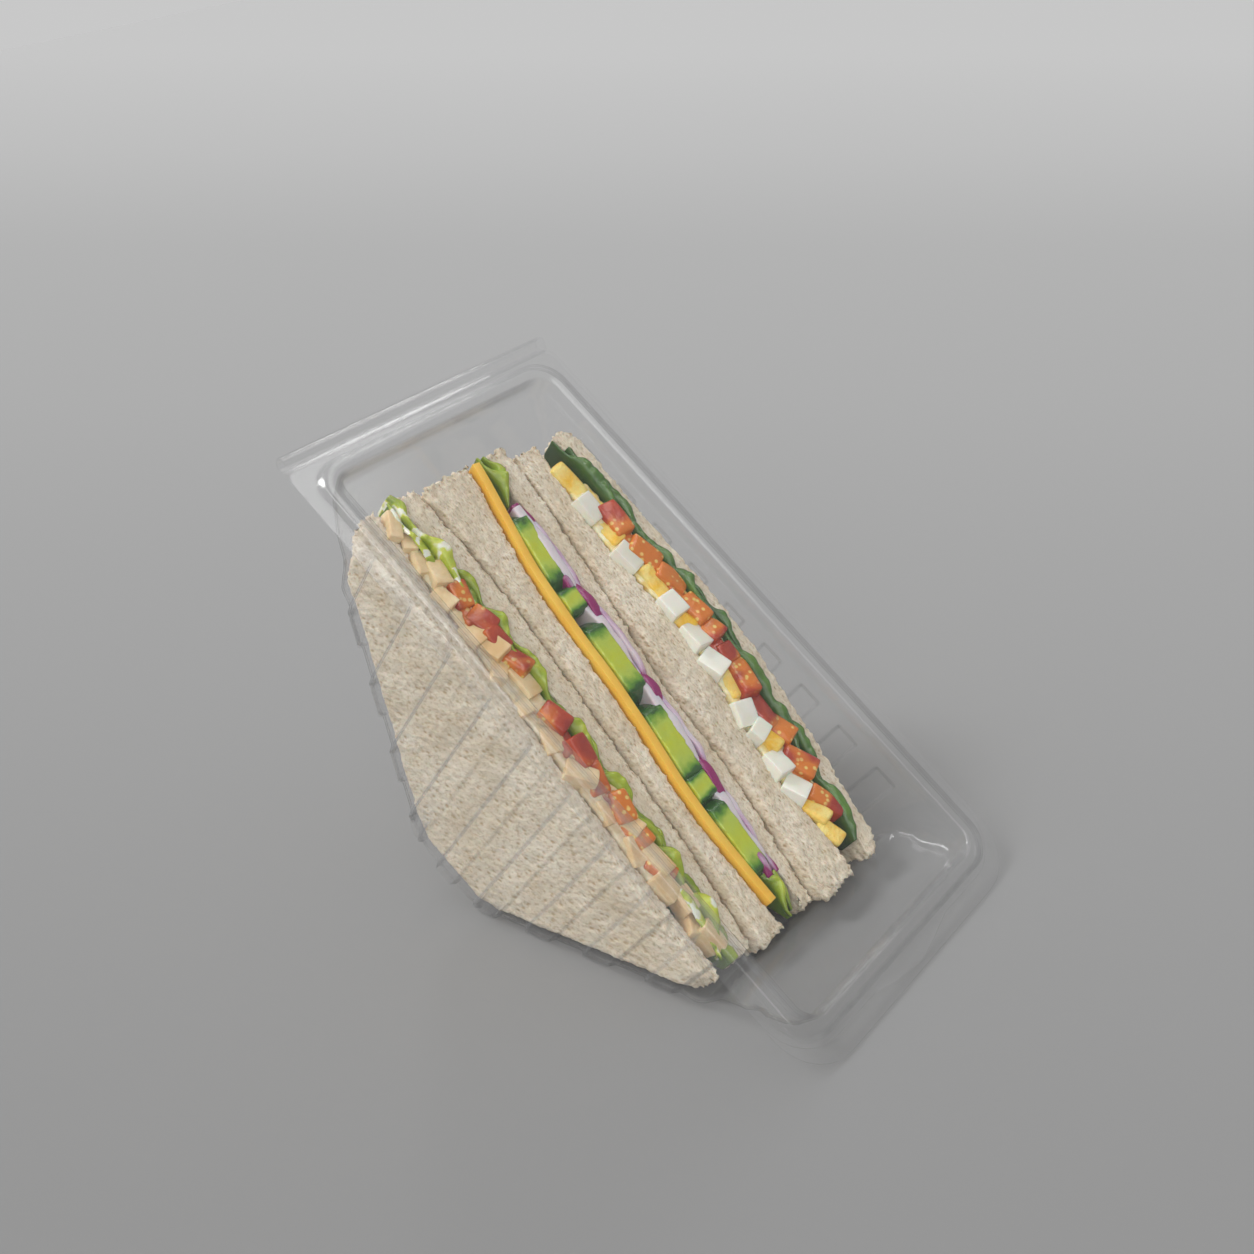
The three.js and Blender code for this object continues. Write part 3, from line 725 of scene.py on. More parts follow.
@dataclass
class FilmPack:
    """The tub and the lid, each formed from one sheet of film."""

    film: float = 0.45
    length: float = 190.0
    width: float = 93.7
    clearance: float = 0.3
    mouth_side: float = 8.5
    mouth_end: float = 10.2
    mouth_radius: float = 6.0
    leg_centre: float = 93.6
    leg_half: float = 93.75
    apex: float = 80.4
    wall_radius: float = 2.5
    rib_count: int = 9
    rib_pitch: float = 14.7
    rib_crest: float = 3.0
    rib_flank: float = 1.1
    rib_leg: float = 2.1
    rib_side: float = 1.6
    rib_top: float = 6.0
    rib_top_run: float = 2.2
    bead_height: float = 1.7
    draft: float = 0.005
    turn_top: float = 4
    turn_run: float = 8
    bead_side: float = 5.75
    bead_end: float = 7.95
    lid_bead_side: float = 5.19
    lid_bead_end: float = 7.39
    bead_radius: float = 8
    panel_drop: float = 1.6
    least_step: float = 0.08
    end_faces: int = 8
    tab_half: float = 11.5
    tab_reach: float = 3.4
    hinge_line: list[tuple[float, float]] = field(default_factory=lambda: [
        (10.2, 0.0), (10.9, -5.0), (18.7, -14.0), (22.9, -18.5), (24.85, -27.0),
        (29.85, -30.0), (75.85, -76.0), (82.6, -80.4), (104.6, -80.4),
    ])
    front_line: list[tuple[float, float]] = field(default_factory=lambda: [
        (179.8, 0.0), (179.1, -5.0), (168.5, -14.0), (164.3, -18.5), (162.35, -27.0),
        (157.35, -30.0), (111.35, -76.0), (104.6, -80.4), (82.6, -80.4),
    ])

    def rise(self, x: float) -> float:
        """Share of the ribs' full height at x, rounded into the wall."""
        for rib in range(self.rib_count):
            centre = self.leg_centre + (rib - (self.rib_count - 1) / 2) * self.rib_pitch
            out = abs(x - centre) - self.rib_crest
            if out < self.rib_flank + 0.2:
                share = min(max(1 - (out + 0.2) / (self.rib_flank + 0.4), 0), 1)
                return share * share * (3 - 2 * share)
        return 0.0

    def floor(self, x: float) -> float:
        """Height of the tub's floor at x, with its ribs."""
        line = self.hinge_line if x < self.leg_centre else self.front_line
        low = -self.apex
        for (outer, top), (inner, bottom) in zip(line, line[1:]):
            if min(outer, inner) <= x <= max(outer, inner):
                low = top + (bottom - top) * (x - outer) / (inner - outer)
                break
        share = self.rise(x)
        if share > 0:
            out = share * self.rib_leg
            slant = out * math.sqrt(2)
            low = min(low, max(
                -(x - self.leg_centre + self.leg_half) - slant,
                x - self.leg_centre - self.leg_half - slant,
                -self.apex - out,
            ))
        return low

    def ends(self, height: float) -> tuple[float, float]:
        """Where the two end walls stand at a height."""
        found = []
        for line in (self.hinge_line, self.front_line):
            value = line[-1][0]
            for (outer, top), (inner, bottom) in zip(line, line[1:]):
                if bottom <= height <= top and bottom < top:
                    value = outer + (inner - outer) * (height - top) / (bottom - top)
                    break
            found.append(value)
        return found[0], found[1]

    def side(self, x: float, height: float) -> float:
        """How far in from the rim's edge the side wall stands at a point.

        Args:
            x: Place along the pack.
            height: Height of the point.

        Returns:
            The distance from the rim's edge.
        """
        hinge, front = self.ends(height)
        turn = min(max((-height - self.turn_top) / self.turn_run, 0), 1)
        radius = self.mouth_radius + (self.wall_radius - self.mouth_radius) * turn
        gap = max(min(x - hinge, front - x), 0)
        inset = self.mouth_side + self.draft * -height
        if gap < radius:
            inset += radius - math.sqrt(max(radius**2 - (radius - gap) ** 2, 0))
        fade = min(max((-height - self.rib_top) / self.rib_top_run, 0), 1)
        fade = fade * fade * (3 - 2 * fade)
        return inset - self.rib_side * self.rise(x) * fade

    def stations(self) -> list[float]:
        """Places along the tub at which its section is drawn."""
        places = [10.2, 10.35, 10.6, 10.9, 11.6, 12.6, 13.8, 15.2, 16.2, 17.4, 18.7, 20.0, 21.5, 22.9]
        places += [23.4, 24.1, 24.85, 26.2, 28.0, 29.85]
        alike = [self.length - self.mouth_end - (x - self.mouth_end) for x in places[:10]]
        ends = places + alike + [168.5, 167.2, 165.7, 164.3, 163.8, 163.1, 162.35, 161.0, 159.2, 157.35]
        for rib in range(self.rib_count):
            centre = self.leg_centre + (rib - (self.rib_count - 1) / 2) * self.rib_pitch
            for out in (0, 1.5, 2.5, 2.8, 3.05, 3.3, 3.55, 3.8, 4.05, 4.3, 5.2, 7.35):
                ends += [centre - out, centre + out]
        kept: list[float] = []
        for x in sorted(ends):
            if not kept or x - kept[-1] > self.least_step:
                kept.append(x)
        return kept

    def section(self, x: float) -> list[tuple[float, float]]:
        """The near half of the tub's section at x, from the mouth down to the middle.

        Args:
            x: Place along the pack.

        Returns:
            Places across the pack with their heights.
        """
        low = self.floor(x)
        points = []
        for level in (0, -2.5, -4.6, -5.8, -6.3, -6.9, -7.6, -8.3, -9.4, -12):
            points.append(max(level, low))
        radius = self.wall_radius + 0.8
        start = min(low + radius, points[-1])
        for share in (0.2, 0.4, 0.6, 0.8, 1.0):
            points.append(points[9] + (start - points[9]) * share)
        for angle in (70, 50, 32, 16, 0):
            points.append(min(low + radius * (1 - math.cos(math.radians(angle))), start))
        across = [(self.side(x, height), height) for height in points]
        edge = across[-1][0]
        for share in (0.1, 0.3, 0.6, 1.0):
            across.append((edge + (self.width / 2 - edge) * share, low))
        return across

    def shell(self, name: str, places: Sequence[float]) -> Piece:
        """Makes the hollow of the tub as one sheet.

        Args:
            name: The piece's name.
            places: The stations along the tub.

        Returns:
            The sheet.
        """
        halves = [self.section(x) for x in places]
        count = 2 * len(halves[0]) - 2

        def place(across: float, along: float) -> Point:
            station = round(along * (len(places) - 1))
            corner = round(across * count)
            half = halves[station]
            if corner < len(half):
                y, z = half[corner]
                return places[station], y, z
            y, z = half[count - corner]
            return places[station], self.width - y, z

        return grid(name, count, len(places) - 1, place)

    def around(self, places: Sequence[float], across: int) -> list[tuple[str, float]]:
        """Names each corner of the mouth's edge by its stretch and its share of it.

        Args:
            places: The stations along the sides.
            across: Faces along each end.

        Returns:
            The corners, anticlockwise from the near side's hinge end.
        """
        first = self.mouth_end + self.mouth_radius
        last = self.length - self.mouth_end - self.mouth_radius
        near: list[tuple[str, float]] = []
        for x in places:
            if x < first:
                near.append(("near_hinge", math.acos(min(max((first - x) / self.mouth_radius, 0), 1))))
            elif x > last:
                near.append(("near_front", math.acos(min(max((x - last) / self.mouth_radius, 0), 1))))
            else:
                near.append(("near", (x - first) / (last - first)))
        far = [(stretch.replace("near", "far"), share) for stretch, share in reversed(near)]
        front = [("front", step / across) for step in range(1, across)]
        hinge = [("hinge", step / across) for step in range(1, across)]
        return near + front + far + hinge

    def corner(self, stretch: str, share: float, loop: Loop) -> Point:
        """Places one corner of a loop round the mouth.

        Args:
            stretch: The stretch of the loop.
            share: Share of the stretch, or the angle in a corner.
            loop: The loop.

        Returns:
            The place.
        """
        low, high = loop.side, self.width - loop.side
        back, fore = loop.hinge, self.length - loop.front
        if stretch in ("near", "far"):
            x = back + loop.hinge_radius + (fore - loop.front_radius - back - loop.hinge_radius) * share
            return x, low if stretch == "near" else high, loop.height
        if stretch == "front":
            run = high - low - 2 * loop.front_radius
            return fore, low + loop.front_radius + run * share, loop.height
        if stretch == "hinge":
            run = high - low - 2 * loop.hinge_radius
            return back, high - loop.hinge_radius - run * share, loop.height
        radius = loop.hinge_radius if stretch.endswith("hinge") else loop.front_radius
        x = radius * math.cos(share)
        y = radius * math.sin(share)
        at_x = back + radius - x if stretch.endswith("hinge") else fore - radius + x
        at_y = low + radius - y if stretch.startswith("near") else high - radius + y
        return at_x, at_y, loop.height

    def rim(self, name: str, corners: list[tuple[str, float]], loops: list[Loop], tab: bool) -> Piece:
        """Makes a band of sheet through loops round the mouth.

        Args:
            name: The piece's name.
            corners: The corners round each loop.
            loops: The loops, from the inside out.
            tab: Whether the last two loops bulge into the thumb tab.

        Returns:
            The band.
        """
        count = len(corners)

        def place(around: float, outwards: float) -> Point:
            stretch, share = corners[round(around * count) % count]
            row = round(outwards * (len(loops) - 1))
            x, y, z = self.corner(stretch, share, loops[row])
            away = abs(y - self.width / 2) / self.tab_half
            if tab and stretch == "front" and row >= len(loops) - 2 and away < 1:
                x += self.tab_reach * (1 - away * away) ** 0.8 * (0.6 if row == len(loops) - 2 else 1)
            return x, y, z

        return grid(name, count, len(loops) - 1, place)

    def roll(self, name: str, side: int) -> Piece:
        """Makes one half of the film roll at the hinge.

        Args:
            name: The piece's name.
            side: -1 for the tub's half and 1 for the lid's.

        Returns:
            The half roll, as a sheet through the middle of the film.
        """
        middle = self.clearance / 2
        line = [(4.62, 0.375), (3.9, 0.7), (3.2, 1.35), (2.5, 1.85)]
        line += [(1.7, 1.9), (0.95, 1.5), (0.45, 0.85), (0.24, 0.16)]

        def place(along: float, around: float) -> Point:
            x, out = line[round(around * (len(line) - 1))]
            return x, 1.2 + (self.width - 2.4) * along, middle + side * out

        return grid(name, 24, len(line) - 1, place)

    def thicken(self, piece: Piece, upward: bool) -> None:
        """Gives a sheet the film's thickness.

        Args:
            piece: The sheet.
            upward: Whether the film grows towards the inside and up.
        """
        side = 1.0 if upward else 0.0
        modify(piece, "SOLIDIFY", thickness=self.film, offset=side, use_quality_normals=True)

    def turned_up(self, piece: Piece) -> None:
        """Turns a sheet's faces to look up, out of the mouth.

        Args:
            piece: The sheet.
        """
        if sum(face.normal.z * face.area for face in piece.data.polygons) < 0:
            with editing(piece):
                bpy.ops.mesh.flip_normals()

    def tub(self, material: Finish) -> Piece:
        """Makes the tub."""
        places = self.stations()
        hollow = self.shell("tub_hollow", places)
        end, side, radius = self.mouth_end, self.mouth_side, self.mouth_radius
        under = self.bead_height - self.film

        def mouth(out: float, height: float) -> Loop:
            return Loop(side - out, end - out, end - out, radius + out, radius + out, height)

        def bead(out: float, height: float) -> Loop:
            corner = self.bead_end - out
            return Loop(self.bead_side - out, corner, corner, self.bead_radius, self.bead_radius, height)

        loops = [
            mouth(0, 0), mouth(0, 0.7), mouth(0.08, under - 0.25), mouth(0.3, under - 0.04),
            mouth(0.7, under), bead(-0.5, under), bead(-0.1, under - 0.05), bead(0.15, under - 0.3),
            bead(0.75, -0.05), bead(0.97, -0.34), bead(1.4, -0.45),
            Loop(2.4, 5.2, 7.2, 5, 13, -0.45), Loop(1.0, 4.75, 4.9, 3.2, 13.6, -0.45),
            Loop(0.6, 4.6, 4.5, 3, 13.9, -0.45),
        ]
        rim = self.rim("tub_rim", self.around(places, self.end_faces), loops, True)
        tub = join("tub_film", [hollow, rim])
        weld(tub, 0.02)
        self.turned_up(tub)
        self.thicken(tub, True)
        roll = self.roll("tub_roll", -1)
        self.thicken(roll, False)
        tub = join("tub_film", [tub, roll])
        return finish_piece(tub, material, ["tub"], smooth=40)

    def lid(self, material: Finish) -> Piece:
        """Makes the lid."""
        gap = self.film + self.clearance
        side, end, radius = self.mouth_side + gap, self.mouth_end + gap, self.mouth_radius - gap
        low = -self.panel_drop - self.film
        high = self.bead_height + self.clearance

        def plug(inward: float, height: float) -> Loop:
            turn = radius - inward * 0.6
            return Loop(side + inward, end + inward, end + inward, turn, turn, height)

        def bead(out: float, height: float) -> Loop:
            corner = self.lid_bead_end - out
            return Loop(self.lid_bead_side - out, corner, corner, self.bead_radius, self.bead_radius, height)

        turns = [x for x in self.stations() if x < 16.3 or x > 173.7]
        corners = self.around(turns + [20 + 5 * step for step in range(31)], self.end_faces + 2)
        loops = [
            plug(1.6, low), plug(0.55, low), plug(0.2, low + 0.12), plug(0.04, low + 0.4),
            plug(0, low + 0.9), plug(0, high - 0.5), plug(-0.1, high - 0.15), plug(-0.35, high),
            bead(-0.7, high), bead(-0.2, high - 0.05), bead(0.05, high - 0.3), bead(0.6, 0.75),
            bead(0.85, 0.4), bead(1.3, 0.3),
            Loop(1.8, 5.0, 4.0, 4, 14, 0.3), Loop(0.5, 4.7, 0.9, 3.2, 14.3, 0.3),
            Loop(0, 4.6, 0, 3, 14.5, 0.3),
        ]
        rim = self.rim("lid_rim", sorted_round(corners), loops, False)
        weld(rim, 0.02)
        within = 1.5
        with editing(rim, "DESELECT"):
            bpy.ops.object.mode_set(mode="OBJECT")
            for vertex in rim.data.vertices:
                inner = side + within < vertex.co.y < self.width - side - within
                vertex.select = inner and end + within < vertex.co.x < self.length - end - within
            bpy.ops.object.mode_set(mode="EDIT")
            bpy.ops.mesh.edge_face_add()
        weld(rim, 0.02)
        self.turned_up(rim)
        self.thicken(rim, True)
        roll = self.roll("lid_roll", 1)
        self.thicken(roll, False)
        lid = join("lid_film", [rim, roll])
        return finish_piece(lid, material, ["lid"], Body.LID, 40)


def sorted_round(corners: list[tuple[str, float]]) -> list[tuple[str, float]]:
    """Puts the corners of a loop in order round it."""
    order = ["near_hinge", "near", "near_front", "front", "far_front", "far", "far_hinge", "hinge"]
    falling = {"near_front", "far", "far_hinge"}

    def key(item: tuple[str, float]) -> tuple[int, float]:
        stretch, share = item
        return order.index(stretch), -share if stretch in falling else share

    return sorted(set(corners), key=key)


# The sandwiches


FIRST_PLACE = 20
SPACING = 36.25


@dataclass(frozen=True)
class Sandwich:
    """One cut sandwich: the faces of its filling and the height of the cut along the pack."""

    start: float
    end: float
    cut_line: tuple[float, ...]
    near_line: tuple[float, ...]
    far_line: tuple[float, ...]

    @staticmethod
    def along(values: Sequence[float], x: float) -> float:
        """A smooth value at x through values that are evenly spaced along the pack.

        Args:
            values: The values, from the hinge end to the front.
            x: Place along the pack.

        Returns:
            The value there.
        """
        place = min(max((x - FIRST_PLACE) / SPACING, 0), len(values) - 1)
        at = min(int(place), len(values) - 2)
        t = place - at
        before, start = values[max(at - 1, 0)], values[at]
        end, after = values[at + 1], values[min(at + 2, len(values) - 1)]
        first, last, rise = (end - before) / 2, (after - start) / 2, end - start
        return start + t * (first + t * (3 * rise - 2 * first - last + t * (first + last - 2 * rise)))

    def cut(self, x: float) -> float:
        """Height of the cut at x."""
        return self.along(self.cut_line, x)

    def across(self, x: float, share: float) -> float:
        """Place across the pack at a share of the filling's room."""
        near = self.along(self.near_line, x)
        return near + (self.along(self.far_line, x) - near) * share


CHICKEN_SANDWICH = Sandwich(
    20.5, 160, (-4.5, -8.6, -12.4, -16.4, -20),
    (17, 15.6, 14.6, 14.5, 15), (22.6, 25.4, 24.8, 23.4, 20.4),
)
CHEDDAR_SANDWICH = Sandwich(
    21.5, 162.5, (-3.5, -6.7, -9.9, -13.8, -17.2),
    (47.6, 41, 38.6, 35.4, 36.4), (53.6, 52.2, 50.8, 47.6, 44),
)
EGG_SANDWICH = Sandwich(
    25.5, 165, (-3.5, -5.6, -6.6, -11.6, -13.4),
    (70.8, 66.8, 66.8, 63.2, 62.6), (76, 78.4, 78.8, 75.6, 68.4),
)


def lump(
    name: str, centre: Point, size: Point, turn: float, seed: int, uneven: float, round_by: float,
    tilt: float,
) -> Piece:
    """Makes a cut lump of food from a cube: its corners shift and its edges are rounded.

    Args:
        name: The piece's name.
        centre: The middle of the lump.
        size: Its three sizes.
        turn: How far it is turned about the upright, in degrees.
        seed: Sets how its corners shift.
        uneven: How far they shift, as a share of its size.
        round_by: Radius of its edges.
        tilt: How far it may lean, in degrees.

    Returns:
        The lump.
    """
    chance = random.Random(seed)
    deselect()
    leans = [chance.uniform(-tilt, tilt), chance.uniform(-tilt, tilt), turn]
    turns = [math.radians(angle) for angle in leans]
    bpy.ops.mesh.primitive_cube_add(size=1, location=centre, scale=size, rotation=turns)
    piece = bpy.context.active_object
    piece.name = name
    with editing(piece):
        bpy.ops.mesh.subdivide(number_cuts=1)
    for vertex in piece.data.vertices:
        for axis in range(3):
            vertex.co[axis] += chance.uniform(-uneven, uneven)
    bpy.ops.object.transform_apply(location=True, rotation=True, scale=True)
    round_off(piece, round_by, 20)
    modify(piece, "SUBSURF", levels=1, render_levels=1)
    return piece


def store_rind_and_depth_shade(piece: Piece, value: Callable[[Vector], float]) -> None:
    """Stores at each corner of a piece how near the skin it lies, and on leaves their painted light and
    shade.

    Args:
        piece: The piece.
        value: Gives the rind value of a place, which on leaves is painted light and shade.
    """
    layer = piece.data.attributes.new("rind_and_depth_shade", "FLOAT", "POINT")
    for vertex in piece.data.vertices:
        layer.data[vertex.index].value = value(vertex.co)


@dataclass
class Bread:
    """The slices of bread, each remade from its node with a torn, porous skin."""

    nodes: dict[str, Sandwich] = field(default_factory=lambda: {
        "bread_chicken_near": CHICKEN_SANDWICH, "bread_chicken_far": CHICKEN_SANDWICH,
        "bread_cheddar_near": CHEDDAR_SANDWICH, "bread_cheddar_far": CHEDDAR_SANDWICH,
        "bread_egg_near": EGG_SANDWICH, "bread_egg_far": EGG_SANDWICH,
    })
    voxel: float = 0.74
    waves: float = 0.8
    pores: float = 1.3
    crumbs: float = 3.0
    end_reach: float = 5
    cut_reach: float = 4
    torn: tuple[float, float, float] = (0.2, 0.22, 0.8)

    def mark_torn(self, piece: Piece, sandwich: Sandwich) -> None:
        """Marks how torn a slice's skin is: most at its two ends, less over the cut, least elsewhere.

        Args:
            piece: The slice.
            sandwich: The sandwich that it belongs to.
        """
        least, over_cut, at_end = self.torn
        group = piece.vertex_groups.new(name="torn")
        places = [vertex.co.x for vertex in piece.data.vertices]
        first, last = min(places), max(places)
        for vertex in piece.data.vertices:
            end = max(1 - min(vertex.co.x - first, last - vertex.co.x) / self.end_reach, 0)
            cut = max(1 - (sandwich.cut(vertex.co.x) - vertex.co.z) / self.cut_reach, 0)
            group.add([vertex.index], min(least + over_cut * cut + at_end * end, 1), "REPLACE")

    def build(self, material: Finish) -> None:
        """Makes every slice.

        Args:
            material: The crumb.
        """
        for node, sandwich in self.nodes.items():
            piece = copy_node(node, f"crumb_{node}")
            remesh(piece, self.voxel)
            self.mark_torn(piece, sandwich)
            ruffle(piece, "CLOUDS", 6.0, self.waves, 0.7)
            ruffle(piece, "VORONOI", 1.5, self.pores, 0.8, "torn")
            ruffle(piece, "CLOUDS", 0.9, self.crumbs, 0.55, "torn")
            finish_piece(piece, material, [node])


@dataclass
class Leaf:
    """A leaf that stands in a filling with its ruffled edge out of the cut.

    It runs from start to end along the pack, at a share of the filling's room across it.
    """

    sandwich: Sandwich
    start: float
    end: float
    share: float
    seed: int
    swing: float = 1.0
    rise: float = 2.4
    depth: float = 14
    ruffles: float = 1.2
    curl: float = 2.6
    dressed: float = 0.0
    thickness: float = 0.45
    rows: int = 14
    columns_per_mm: float = 1.6
    stem_share: float = 0.6
    sunk: float = 1.2
    wave_run: float = 9
    ruffle_run: float = 3.1
    crinkle_run: float = 1.7
    taper_run: float = 7

    def build(self) -> Piece:
        """Makes the leaf: a sheet whose stem stands in the filling and whose lip folds over."""
        span = self.end - self.start

        def place(along: float, up: float) -> Point:
            run = along * span
            x = self.start + run
            wave = noise.noise(Vector((run / self.wave_run, self.seed * 3.1, up * 0.8)))
            fold = math.sin(run / self.ruffle_run * self.ruffles + self.seed + 2.2 * wave)
            crinkle = noise.noise(Vector((run / self.crinkle_run, self.seed, up * 3)))
            stem = min(up / self.stem_share, 1)
            lip = max((up - self.stem_share) / (1 - self.stem_share), 0)
            taper = min(min(along, 1 - along) * span / self.taper_run, 1)
            tall = self.rise * (0.3 + 0.7 * taper) * (0.75 + 0.5 * wave) - self.sunk
            y = self.sandwich.across(x, self.share) + self.swing * (0.35 * wave + 0.65 * fold * stem**3)
            y += self.curl * lip * (0.8 + 0.35 * fold) * (0.4 + 0.6 * taper)
            depth = self.depth * (0.4 + 0.6 * taper)
            z = self.sandwich.cut(x) - depth + (depth + tall) * stem
            crest = 0.9 * math.sin(math.pi * min(lip * 0.8, 1))
            z += crest + (0.9 * fold + 0.8 * crinkle) * lip - 0.5 * lip**2
            return x + 0.5 * lip * math.sin(run / 2.9), y, z

        # Painted light and shade: the value falls with height above the cut, so the leaf is painted dark
        # below the cut and light on its lip; patches at 0 are the dressing's own pale streaks.
        def skin(co: Vector) -> float:
            if noise.noise(Vector((co.x / 2.4, co.y / 1.6, self.seed))) > 1 - self.dressed:
                return 0
            return min(max(0.62 - (co.z - self.sandwich.cut(co.x)) * 0.2, 0.08), 1)

        piece = grid("leaf", max(int(span * self.columns_per_mm), 12), self.rows, place)
        store_rind_and_depth_shade(piece, skin)
        modify(piece, "SOLIDIFY", thickness=self.thickness, offset=0.0)
        modify(piece, "SUBSURF", levels=1, render_levels=1)
        return piece


def dress_leaves(name: str, leaves: list[Leaf], finish: Finish, nodes: list[str]) -> None:
    """Makes a clump of leaves as one piece.

    Args:
        name: The piece's name.
        leaves: The leaves.
        finish: What they are dressed in.
        nodes: The nodes that they stand for.
    """
    clump = join(name, [leaf.build() for leaf in leaves])
    finish_piece(clump, finish, nodes)


@dataclass
class ChickenFilling:
    """Cut chicken in dressing, tomato and lettuce."""

    sandwich: Sandwich = CHICKEN_SANDWICH
    count: int = 8
    chunks: int = 3
    first: float = 24.0
    last: float = 154.0
    lengths: tuple[float, float] = (6.2, 9.2)
    widths: tuple[float, float] = (4.2, 5.8)
    heights: tuple[float, float] = (5, 7)
    proud: tuple[float, float] = (0.2, 2.4)
    turns: tuple[float, ...] = (-40, -15, 10, 30)
    tomatoes: tuple[tuple[float, float], ...] = ((46, 61), (60, 75), (84, 101), (101, 118), (118, 135))

    def chunk(self, group: int, item: int, chance: random.Random) -> Piece:
        """Makes one chunk of chicken; the chunks lie in two rows that drift across the filling.

        Args:
            group: The number of its node.
            item: Its own number in the node.
            chance: Sets its size and place.

        Returns:
            The chunk.
        """
        run = self.last - self.first
        x = self.first + run / self.count * (group + (item + 0.5) / self.chunks) + chance.uniform(-0.7, 0.7)
        row = 0.17 + 0.20 * (x - self.first) / run + 0.26 * ((group + item) % 2)
        y = self.sandwich.across(x, row + chance.uniform(-0.04, 0.04))
        room = self.sandwich.across(x, 1) - self.sandwich.across(x, 0)
        size = (
            chance.uniform(*self.lengths), min(chance.uniform(*self.widths), 0.6 * room),
            chance.uniform(*self.heights),
        )
        z = self.sandwich.cut(x) - size[2] / 2 + chance.uniform(*self.proud)
        turn = chance.choice(self.turns) + chance.uniform(-8, 8)
        return lump("chunk", (x, y, z), size, turn, 100 + group * 9 + item, 0.19, 0.4, 18)

    def build(self) -> None:
        """Makes the filling."""
        chance = random.Random(7)
        chicken = CHICKEN.material()
        tomato = TOMATO.material()
        for group in range(self.count):
            piece = join(
                f"cut_chicken_{group + 1}", [self.chunk(group, item, chance) for item in range(self.chunks)]
            )
            finish_piece(piece, chicken, [f"chicken_piece_{group + 1}"], smooth=30)
        dice_up("cut_tomato", "tomato_chicken_piece", self.sandwich, self.tomatoes, tomato, chance, 300)
        fill_bed("chicken_filling", self.sandwich, DRESSING.material())
        lettuce = LETTUCE.material()
        hinge = [
            Leaf(self.sandwich, 19.5, 56, 0.74, 1, rise=2.6, depth=16, ruffles=1.0, curl=3.0, dressed=0.85),
            Leaf(self.sandwich, 21, 46, 0.66, 2, ruffles=1.3, curl=-2.6, dressed=0.95),
            Leaf(self.sandwich, 48, 90, 0.82, 3),
            Leaf(self.sandwich, 36, 88, 0.96, 8, swing=0.7, rise=1.6, ruffles=1.5, curl=1.8),
        ]
        dress_leaves("lettuce_at_hinge", hinge, lettuce, ["lettuce_leaf_1"])
        front = [
            Leaf(self.sandwich, 82, 128, 0.82, 4, depth=16, ruffles=1.1),
            Leaf(self.sandwich, 124, 159.5, 0.74, 5, swing=1.2, rise=2.6, depth=12, curl=3.0),
            Leaf(self.sandwich, 92, 156, 0.96, 6, swing=0.7, rise=1.6, depth=12, ruffles=1.4, curl=1.8),
            Leaf(self.sandwich, 134, 157, 0.66, 9, swing=1.2, depth=10, curl=-2.4, dressed=0.95),
        ]
        dress_leaves("lettuce_at_front", front, lettuce, ["lettuce_leaf_2"])


